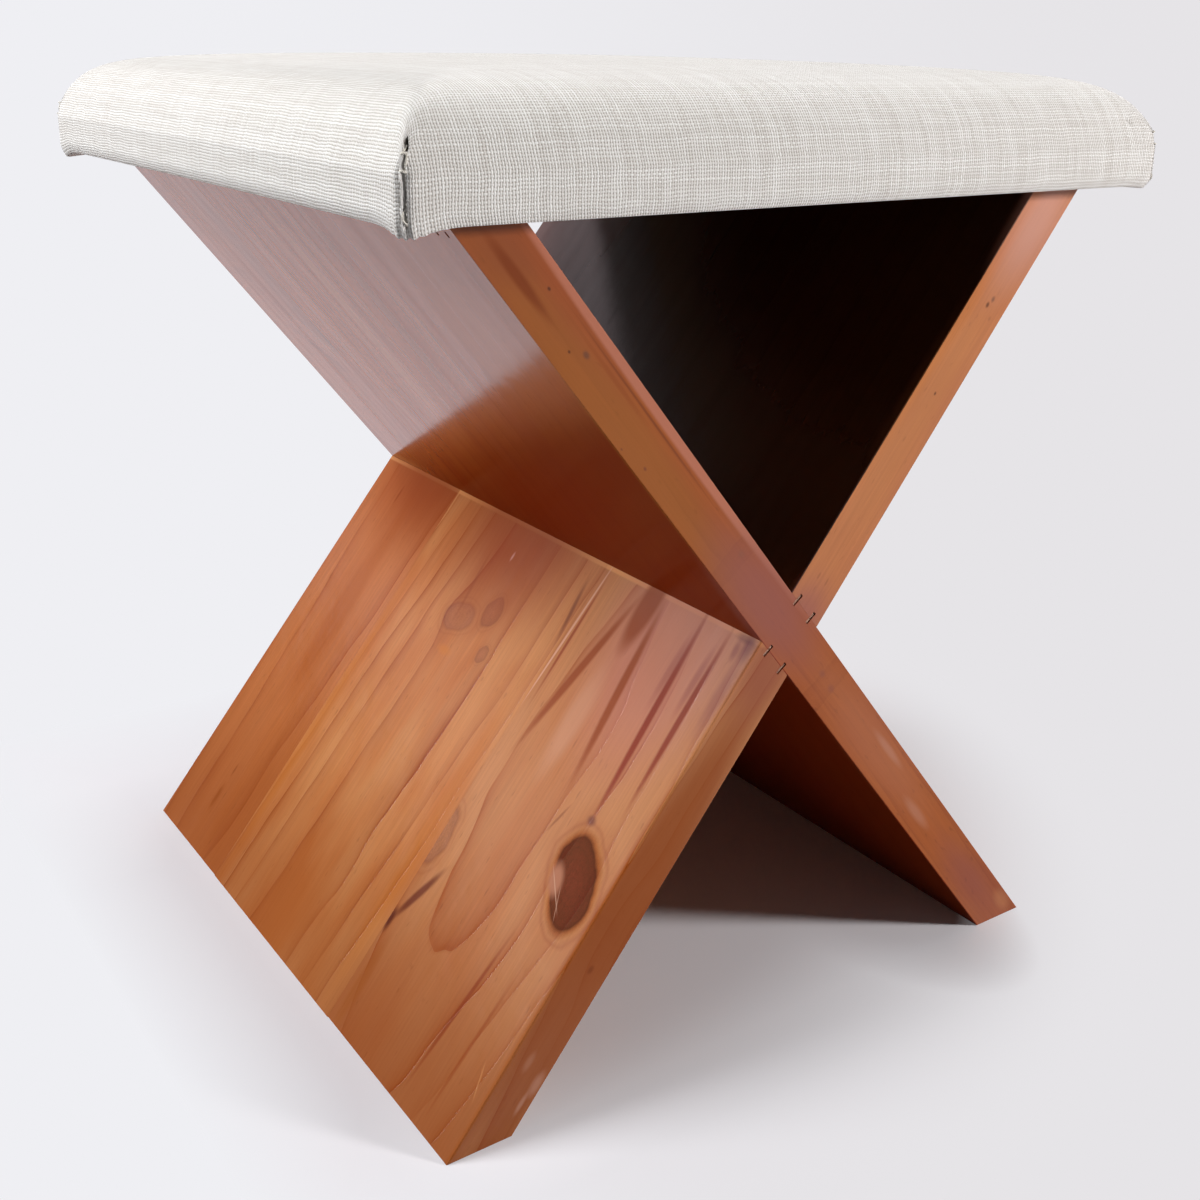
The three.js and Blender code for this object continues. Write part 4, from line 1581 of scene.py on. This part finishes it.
    def flat_cloth(self, grid_x: np.ndarray, grid_y: np.ndarray, height: np.ndarray) -> np.ndarray:
        """Gives each point's place on the flat cloth.

        On each side the threads run level and upright, and they fan out from one side to the
        next over the corner, most where the roll is steep.

        Args:
            grid_x: The points' places from left to right, before the sides are drawn in.
            grid_y: The same from front to rear.
            height: Their heights.

        Returns:
            Millimetres along the weft and along the warp.
        """
        in_x, in_y = self.width / 2 - np.abs(grid_x), self.depth / 2 - np.abs(grid_y)
        share = np.clip(0.5 + 0.5 * (in_x - in_y) / (0.6 + 0.9 * np.minimum(in_x, in_y)), 0, 1)
        share = share * share * (3 - 2 * share)
        run_x, run_y = self.run_along(grid_x, height, 0), self.run_along(grid_y, height, 1)
        middle_x, middle_y = run_x[:, run_x.shape[1] // 2, None], run_y[None, run_y.shape[0] // 2, :]
        flat_x = share * run_x + (1 - share) * middle_x
        return np.stack([flat_x, share * middle_y + (1 - share) * run_y], axis=-1)

    def sag(self, x: np.ndarray, y: np.ndarray) -> np.ndarray:
        """Gives how far the folded cloth hangs below the seat near a corner, in small lobes.

        Args:
            x: Places from left to right.
            y: Places from front to rear.

        Returns:
            The sag in millimetres, less at the right.
        """
        away_x, away_y = self.width / 2 - np.abs(x), self.depth / 2 - np.abs(y)
        near = np.exp(-((np.hypot(away_x, away_y) / self.corner_sag_reach) ** 2))
        lobes = 1 + 0.12 * np.cos(1.5 * (away_x - away_y) + 0.6)
        return self.corner_sag * np.where(x > 0, self.right_share, 1.0) * near * lobes

    def points(self, piece: bpy.types.Object) -> np.ndarray:
        """Reads a mesh's points.

        Args:
            piece: The piece.

        Returns:
            Its points in millimetres, heights over the seat's underside.
        """
        flat = np.empty(3 * len(piece.data.vertices))
        piece.data.vertices.foreach_get("co", flat)
        return flat.reshape(-1, 3) / MM - (0, 0, self.under)

    def set_points(self, piece: bpy.types.Object, points: np.ndarray) -> None:
        """Writes a mesh's points back."""
        piece.data.vertices.foreach_set("co", ((points + (0, 0, self.under)) * MM).ravel())
        piece.data.update()

    def swell(self) -> tuple[np.ndarray, np.ndarray]:
        """Lets a plain copy of the cloth swell under the foam's pressure.

        Returns:
            The copy's points at rest, and how far each moved.
        """
        copy = self.shell("swelling", fine=False)
        rest = self.points(copy)
        held = copy.vertex_groups.new(name="held")
        for index, weight in enumerate(self.hold(rest)):
            held.add([index], float(weight), "REPLACE")
        cloth = copy.modifiers.new("cloth", "CLOTH")
        cloth.settings.use_pressure = True
        cloth.settings.uniform_pressure_force = self.pressure
        cloth.settings.vertex_group_mass = held.name
        cloth.settings.pin_stiffness = 1.0
        cloth.settings.effector_weights.gravity = 0
        for number in range(1, self.settling + 1):
            bpy.context.scene.frame_set(number)
        select_only(copy)
        bpy.ops.object.modifier_apply(modifier=cloth.name)
        moved = self.points(copy) - rest
        bpy.data.objects.remove(copy)
        bpy.context.scene.frame_set(1)
        length = np.linalg.norm(moved, axis=1)
        log.info("cloth simulation: moved %.2f mm on average, %.2f mm at most", length.mean(), length.max())
        scale = np.minimum(1, self.most_swell / np.maximum(length, 1e-9))
        return rest, moved * scale[:, None]

    def hold(self, points: np.ndarray) -> np.ndarray:
        """Gives how firmly the tacks, the corner folds and the crown's own tension hold the cloth.

        Args:
            points: The cloth's points, heights over the seat's underside.

        Returns:
            A share from 0 to 1 for each.
        """
        away = np.hypot(self.width / 2 - np.abs(points[:, 0]), self.depth / 2 - np.abs(points[:, 1]))
        tacked = np.clip((20 - points[:, 2]) / 8, 0, 1)
        folded = np.clip((30 - away) / 18, 0, 1)
        return np.maximum(np.maximum(tacked, folded), np.where(points[:, 2] > 40, 0.45, 0.0))

    def follow(self, piece: bpy.types.Object, rest: np.ndarray, moved: np.ndarray) -> None:
        """Moves the finely divided cloth as the plain copy moved.

        Args:
            piece: The finely divided cloth.
            rest: The plain copy's points at rest.
            moved: How far each of them moved.
        """
        tree = KDTree(len(rest))
        for index, point in enumerate(rest):
            tree.insert(point, index)
        tree.balance()
        points = self.points(piece)
        for i, point in enumerate(points):
            near = tree.find_n(point, self.neighbours)
            weight = [math.exp(-((distance / self.follow_reach) ** 2)) + 1e-9 for _, _, distance in near]
            weight = np.array(weight)
            points[i] += weight @ moved[[index for _, index, _ in near]] / weight.sum()
        self.set_points(piece, points)

    def sew(self, piece: bpy.types.Object) -> None:
        """Folds the seams and the short creases into the cloth, and marks where it is painted dark: the
        folds' raw insides with their shade, the lips and the creases.

        Args:
            piece: The cloth.
        """
        points = self.points(piece)
        inside = np.zeros(len(points))
        moves = np.zeros_like(points)
        for seam in self.seams().values():
            shift, sunk = seam.press(points)
            moves += shift
            inside = np.maximum(inside, sunk)
        for crease in self.creases:
            shift, sunk = self.creased(points, crease)
            moves += shift
            inside = np.maximum(inside, sunk)
        self.set_points(piece, points + moves)
        mark = piece.data.attributes.new("fold", "FLOAT", "POINT")
        mark.data.foreach_set("value", inside.astype(np.float32))

    def creased(self, points: np.ndarray, crease: Crease) -> tuple[np.ndarray, np.ndarray]:
        """Presses one short crease into the cloth, deepest halfway along it.

        Args:
            How far each point moves, and the painted shade in the crease, half of how deep it lies.
            crease: The crease.

        Returns:
            How far each point moves, and how deep in the crease it lies.
        """
        start, end = np.array(crease.start), np.array(crease.end)
        run = end - start
        share = np.clip((points - start) @ run / (run @ run), 0, 1)
        away = np.linalg.norm(points - start - share[:, None] * run, axis=1)
        fade = np.sin(np.pi * np.clip(share, 0.02, 0.98))
        press = crease.depth * fade * np.exp(-((away / crease.half_width) ** 2))
        inward = np.array(self.crease_middle) - points
        inward = inward / np.linalg.norm(inward, axis=1)[:, None]
        return inward * press[:, None], 0.5 * press / crease.depth

    def cover(self) -> tuple[bpy.types.Object, BVHTree]:
        """Makes the linen cover.

        Returns:
            The cover, and its surface before sewing, in millimetres.
        """
        piece = self.shell("linen_cover", fine=True)
        self.follow(piece, *self.swell())
        faces = [list(face.vertices) for face in piece.data.polygons]
        surface = BVHTree.FromPolygons(self.points(piece).tolist(), faces)
        self.sew(piece)
        select_only(piece)
        self.thicken(piece, "cloth", self.cloth)
        bpy.ops.object.shade_smooth_by_angle(angle=math.radians(60))
        piece.data.materials.append(LinenWeave().make())
        return piece, surface

    def thicken(self, piece: bpy.types.Object, name: str, thickness: float) -> None:
        """Gives a surface its thickness, inwards.

        Args:
            piece: The surface, which is the active object.
            name: The modifier's name.
            thickness: The thickness in millimetres.
        """
        thick = piece.modifiers.new(name, "SOLIDIFY")
        thick.thickness = thickness * MM
        thick.offset = -1
        bpy.ops.object.modifier_apply(modifier=thick.name)

    def filling(self, name: str, inset: float, floor: float) -> bpy.types.Object:
        """Makes what lies under the cloth: its own form, set in by a distance and cut off level.

        Args:
            name: The piece's name.
            inset: Its distance in from the cloth's outer face.
            floor: The height at which it ends.

        Returns:
            The open form, in edit mode, for its own method to close.
        """
        piece = self.shell(name, fine=False)
        select_only(piece)
        bpy.ops.object.mode_set(mode="EDIT")
        bpy.ops.mesh.select_all(action="SELECT")
        bpy.ops.mesh.normals_make_consistent(inside=False)
        bpy.ops.transform.shrink_fatten(value=-inset * MM)
        bpy.ops.mesh.select_all(action="SELECT")
        level = (0, 0, (self.under + floor) * MM)
        bpy.ops.mesh.bisect(plane_co=level, plane_no=(0, 0, 1), clear_inner=True)
        return piece

    def layers(self) -> None:
        """Makes the wadding and the foam."""
        wadding = self.filling("polyester_wadding", self.cloth + self.layer_gap, self.board_floor)
        bpy.ops.object.mode_set(mode="OBJECT")
        self.thicken(wadding, "wadding", self.wadding)
        bpy.ops.object.shade_smooth_by_angle(angle=math.radians(60))
        wadding.data.materials.append(WADDING.make())
        seat_in_model(wadding, "wadding", "seat_wadding")
        foam = self.filling("foam_block", self.cloth + self.wadding + 2 * self.layer_gap, self.foam_floor)
        bpy.ops.mesh.select_all(action="DESELECT")
        bpy.ops.mesh.select_mode(type="EDGE")
        bpy.ops.mesh.select_non_manifold()
        bpy.ops.mesh.fill_holes(sides=0)
        bpy.ops.object.mode_set(mode="OBJECT")
        bpy.ops.object.shade_smooth_by_angle(angle=math.radians(50))
        foam.data.materials.append(FOAM.make())
        seat_in_model(foam, "foam", "foam_pad")

    def build(self) -> None:
        """Makes the cover, its stitches, the wadding and the foam, and fixes them to the board."""
        cover, surface = self.cover()
        seat_in_model(cover, "linen_cloth", "seat_cover")
        cotton = THREAD.make()
        for corner, seam in self.seams().items():
            thread = SeamThread().build(f"seam_thread_{corner}", seam, surface, self.under)
            thread.data.materials.append(cotton)
            seat_in_model(thread, "sewing_thread", f"corner_stitch_{corner}")
        self.layers()


# Soft white strands that catch the light where they leave the fold
THREAD = PlainFinish("cotton thread, two-ply, undyed", "#F4F1EA", "#D8D2C6", (0.3, 0.3, 0.3), 0.85)
# White fluff without a clear surface, seen only where the cloth is cut away
WADDING = PlainFinish("polyester wadding, carded", "#F6F6F4", "#E4E4E1", (2.5, 2.5, 0.6), 0.95, bump=1.2)
# Cream, with the fine even pores of a sawn block
FOAM = PlainFinish("open-cell foam, cut", "#E6DDB8", "#C9BE94", (0.9, 0.9, 0.9), 0.95, bump=0.6)
# Pale wood with a long even grain, dry because it has no coat
PLYWOOD = PlainFinish("birch plywood, sanded, bare", "#DCC39A", "#BE9C6C", (60.0, 2.2, 1.7), 0.6)
# Pink-brown wood with short flecks along the pin
BEECH = PlainFinish("beech dowel, turned, bare", "#DDBB8C", "#B98E5E", (1.2, 20.0, 1.2), 0.55)
# Plain grey metal with the faint lines of the die
STEEL = PlainFinish(
    "staple wire, drawn, dull", "#A5A39F", "#77746F", (0.6, 0.6, 0.6), 0.42, metallic=1.0, bump=0.03
)
# Small dark dents with a light fleck or two, because stain and lacquer fill them over the wire
SUNK_CROWN = PlainFinish(
    "staple crown, sunk, under clear lacquer", "#5E3626", "#CCA48E", (0.8, 0.8, 0.8), 0.5, bump=0.1
)
# Darker than the crowns, with a dull gleam
LACQUERED_STEEL = PlainFinish(
    "staple wire, sunk, under brown lacquer",
    "#2E1810",
    "#B07C58",
    (1.6, 1.6, 1.6),
    0.35,
    metallic=0.1,
    bump=0.1,
)


@dataclass(frozen=True)
class Dressing:
    """The plainer CAD pieces that stay as they are and get only a finish."""

    finishes: tuple[tuple[str, PlainFinish], ...] = (
        ("seat_board", PLYWOOD),
        ("crossing_dowel", BEECH),
        ("crossing_staple", SUNK_CROWN),
        ("seat_brad", LACQUERED_STEEL),
        ("cover_staple", STEEL),
    )

    def build(self) -> None:
        """Gives each of them its material."""
        for prefix, finish in self.finishes:
            material = finish.make()
            for name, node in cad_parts.items():
                if name.startswith(prefix):
                    node.data.materials.clear()
                    node.data.materials.append(material)
                    log.info("%s: %s", name, finish.name)


@dataclass(frozen=True)
class SoftBox:
    """A square soft lamp, with its place, its width and its height in metres and its power in watts."""

    name: str
    place: Triple
    size: float
    power: float
    tint: str = "#FFFFFF"
    mirrored: bool = True

    def hang(self, aim: Vector) -> None:
        """Hangs the lamp.

        Args:
            aim: The point that it faces.
        """
        data = bpy.data.lights.new(self.name, "AREA")
        data.shape = "SQUARE"
        data.size = self.size
        data.energy = self.power
        data.color = linear(self.tint)[:3]
        lamp = bpy.data.objects.new(self.name, data)
        lamp.visible_glossy = self.mirrored
        lamp.location = self.place
        lamp.rotation_mode = "QUATERNION"
        lamp.rotation_quaternion = (aim - Vector(self.place)).to_track_quat("-Z", "Y")
        bpy.context.scene.collection.objects.link(lamp)


@dataclass
class Studio:
    """The plain pale floor, the soft light and the camera.

    The camera's place is in millimetres and its turns in degrees. Places on the floor and the
    lamps' are in metres.
    """

    camera_place: Triple = (-422.02, -658.46, 460.77)
    azimuth: float = -35.46
    elevation: float = 17.33
    roll: float = 1.01
    focal_pixels: float = 1489.15
    image_pixels: float = 1200.0
    principal: tuple[float, float] = (638.94, 508.33)
    sensor: float = 36.0
    floor_radius: float = 9.0
    shadow_middle: Triple = (-0.05, 0.11, 0)
    shadow_reach: tuple[float, float] = (0.25, 0.43)
    right_foot: Triple = (0.125, -0.02, 0)
    right_foot_half: Triple = (0.075, 0.19, 1.0)
    bounce: str = "#949496"
    # Greyer paper outside the feet at the left: a painted shadow
    outside: str = "#D6D5DA"
    under_stool: str = "#E9E8ED"
    # Paler paper at the right: painted light
    painted_light_at_right: str = "#F4F3F8"
    white: str = "#EFEFF3"
    white_at_right: str = "#E6E4E7"
    room_tint: str = "#FCEAEE"
    rightward: Triple = (0.815, -0.58, 0)
    room_light: float = 0.07
    aim: Triple = (0, 0, 0.25)
    lamps: tuple[SoftBox, ...] = (
        SoftBox("left_box", (-1.52, 0.7, 1.82), 1.2, 62.0),
        SoftBox("overhead_box", (-0.9, 0.1, 2.3), 1.8, 4.5),
        SoftBox("front_right_lamp", (1.46, -1.62, 0.8), 0.26, 47.0, "#FFFCFA", mirrored=False),
        SoftBox("rear_right_box", (1.5, 1.7, 1.0), 1.4, 8.0, mirrored=False),
    )

    def camera(self) -> None:
        """Stands the camera where the photograph was taken from."""
        az, el, roll = (math.radians(a) for a in (self.azimuth, self.elevation, self.roll))
        forward = Vector((-math.sin(az) * math.cos(el), math.cos(az) * math.cos(el), -math.sin(el)))
        right = forward.cross(Vector((0, 0, 1))).normalized()
        up = right.cross(forward)
        turned_right = right * math.cos(roll) + up * math.sin(roll)
        turned_up = up * math.cos(roll) - right * math.sin(roll)
        data = bpy.data.cameras.new("camera")
        data.sensor_width = self.sensor
        data.sensor_fit = "HORIZONTAL"
        data.lens = self.focal_pixels / self.image_pixels * data.sensor_width
        data.shift_x = (self.image_pixels / 2 - self.principal[0]) / self.image_pixels
        data.shift_y = (self.principal[1] - self.image_pixels / 2) / self.image_pixels
        data.clip_start = 0.02
        camera = bpy.data.objects.new("camera", data)
        bpy.context.scene.collection.objects.link(camera)
        axes = Matrix((turned_right, turned_up, -forward)).transposed().to_4x4()
        camera.matrix_world = Matrix.Translation(Vector(self.camera_place) * MM) @ axes
        bpy.context.scene.camera = camera

    def floor(self) -> None:
        """Lays the floor of matt paper, which takes the stool's shadow without a shine."""
        bpy.ops.object.select_all(action="DESELECT")
        bpy.ops.mesh.primitive_circle_add(vertices=96, radius=self.floor_radius, fill_type="NGON")
        floor = bpy.context.active_object
        floor.name = "studio_floor"
        material = bpy.data.materials.new("matt white paper")
        net = Net(material)
        place = net.add("TexCoord", out="Object")
        rays = net.add("LightPath").node.outputs
        seen = net.add("Math", rays["Is Camera Ray"], rays["Is Glossy Ray"], operation="MAXIMUM")
        share = net.add("Math", self.faded(net, place), seen, operation="MULTIPLY")
        shown = {FACTOR: seen, FIRST: linear(self.bounce), SECOND: self.sheet(net, place)}
        matt = net.add("BsdfDiffuse", net.add("Mix", at=shown, **COLOURS))
        glow = net.add("Emission", self.backdrop(net, place), 1.0)
        net.add("OutputMaterial", net.add("MixShader", share, matt, glow))
        floor.data.materials.append(material)

    def faded(self, net: Net, place: Socket) -> Socket:
        """Fades the floor to the backdrop's white away from the stool's shadow.

        Args:
            net: The floor's tree.
            place: The place on the floor.

        Returns:
            The backdrop's share, from 0 at the stool to 1.
        """
        distance = net.add("VectorMath", place, self.shadow_middle, operation="DISTANCE", out="Value")
        fade = net.add("MapRange", distance, *self.shadow_reach, 0.0, 1.0, **SMOOTH)
        half, middle = self.right_foot_half, self.right_foot
        foot = net.add("Mapping", place, middle, NO_MOVE, half, vector_type="TEXTURE")
        beside = net.add("VectorMath", foot, operation="LENGTH", out="Value")
        past_foot = net.add("MapRange", beside, 0.85, 1.15, 0.0, 1.0)
        fade = net.add("Math", fade, past_foot, operation="MULTIPLY")
        x, y, _ = net.add("SeparateXYZ", place).node.outputs
        past_left = net.add("MapRange", x, -0.26, -0.19, 1.0, 0.0)
        fade = net.add("Math", fade, past_left, operation="MAXIMUM")
        past_rear = net.add("MapRange", y, 0.24, 0.34, 0.0, 1.0)
        return net.add("Math", fade, past_rear, operation="MAXIMUM")

    def sheet(self, net: Net, place: Socket) -> Socket:
        """Gives the paper's white, with a painted shadow outside the feet at the left and painted light at
        the right.

        Args:
            net: The floor's tree.
            place: The place on the floor.

        Returns:
            The colour that is seen.
        """
        x, y, _ = net.add("SeparateXYZ", place).node.outputs
        inside_left = net.add("MapRange", x, -0.2, -0.13, 0.0, 1.0)
        inside_front = net.add("MapRange", y, -0.225, -0.185, 0.0, 1.0)
        between = net.add("Math", inside_left, inside_front, operation="MULTIPLY")
        behind = net.add("MapRange", y, 0.12, 0.24, 0.0, 1.0)
        between = net.add("Math", between, behind, operation="MAXIMUM")
        # Painted shadow: greyer paper outside the feet at the left
        inner = {FACTOR: between, FIRST: linear(self.outside), SECOND: linear(self.under_stool)}
        sheet = net.add("Mix", at=inner, **COLOURS)
        # Painted light: paler paper at the right
        right = net.add("MapRange", x, 0.12, 0.24, 0.0, 1.0)
        return net.add("Mix", at={FACTOR: right, FIRST: sheet, SECOND: linear(self.painted_light_at_right)}, **COLOURS)

    def backdrop(self, net: Net, place: Socket) -> Socket:
        """Gives the backdrop's white, greyer to the photograph's right and warm where it is mirrored.

        Args:
            net: The tree of the floor or the world.
            place: The direction or the place that is looked at.

        Returns:
            The colour, by what kind of ray meets it.
        """
        level = net.add("VectorMath", place, (1, 1, 0), operation="MULTIPLY")
        toward = net.add("VectorMath", level, operation="NORMALIZE")
        aside = net.add("VectorMath", toward, self.rightward, operation="DOT_PRODUCT", out="Value")
        grey = net.add("MapRange", aside, -0.35, 0.35, 0.0, 1.0, **SMOOTH)
        whites = {FACTOR: grey, FIRST: linear(self.white), SECOND: linear(self.white_at_right)}
        white = net.add("Mix", at=whites, **COLOURS)
        ahead = net.add("VectorMath", toward, (0, -1, 0), operation="DOT_PRODUCT", out="Value")
        dim = net.add("MapRange", ahead, 0.2, 0.7, 1.0, 0.3)
        height = net.add("SeparateXYZ", place, out=2)
        low = ((0.0, "#FFFFFF"), (0.03, "#707070"), (0.25, "#404040"), (0.31, "#FFFFFF"))
        high = ((0.345, "#DCDCDC"), (0.42, "#808080"), (0.455, "#8C8C8C"), (0.49, "#FFFFFF"))
        lit = net.add("ValToRGB", height, ramp=(*low, *high))
        dims = net.add("CombineXYZ", dim, dim, dim)
        room = net.add("VectorMath", lit, dims, operation="MULTIPLY")
        room = net.add("VectorMath", room, linear(self.room_tint)[:3], operation="MULTIPLY")
        mirrored = net.add("LightPath").node.outputs["Is Glossy Ray"]
        return net.add("Mix", at={FACTOR: mirrored, FIRST: white, SECOND: room}, **COLOURS)

    def world(self) -> None:
        """Fills the room with even light, and shows as the backdrop's white."""
        world = bpy.data.worlds.new("studio")
        bpy.context.scene.world = world
        net = Net(world)
        rays = net.add("LightPath").node.outputs
        seen = net.add("Math", rays["Is Camera Ray"], rays["Is Glossy Ray"], operation="MAXIMUM")
        seen = net.add("Math", seen, rays["Is Transmission Ray"], operation="MAXIMUM")
        light = net.add("Background", linear("#FFFFFF"), self.room_light)
        around = self.backdrop(net, net.add("TexCoord", out="Generated"))
        backdrop = net.add("Background", around, 1.0)
        net.add("OutputWorld", net.add("MixShader", seen, light, backdrop))

    def build(self) -> None:
        """Sets up the camera, the floor and the light."""
        self.camera()
        self.floor()
        self.world()
        for lamp in self.lamps:
            lamp.hang(Vector(self.aim))


def main() -> None:
    """Builds the stool's sub-assemblies in order, then the studio round them."""
    logging.basicConfig(level=logging.INFO, format="%(name)s: %(message)s")
    bpy.context.scene.view_settings.view_transform = "Standard"
    XFrame().build()
    puckers = (
        Crease((177.5, -200.5, 32.0), (183.5, -204.5, 27.0), 0.9, 0.8),
        Crease((187.5, -204.0, 28.5), (191.5, -206.0, 25.0), 0.8, 0.7),
    )
    Cushion(creases=puckers).build()
    Dressing().build()
    Studio().build()


if __name__ == "__main__":
    main()
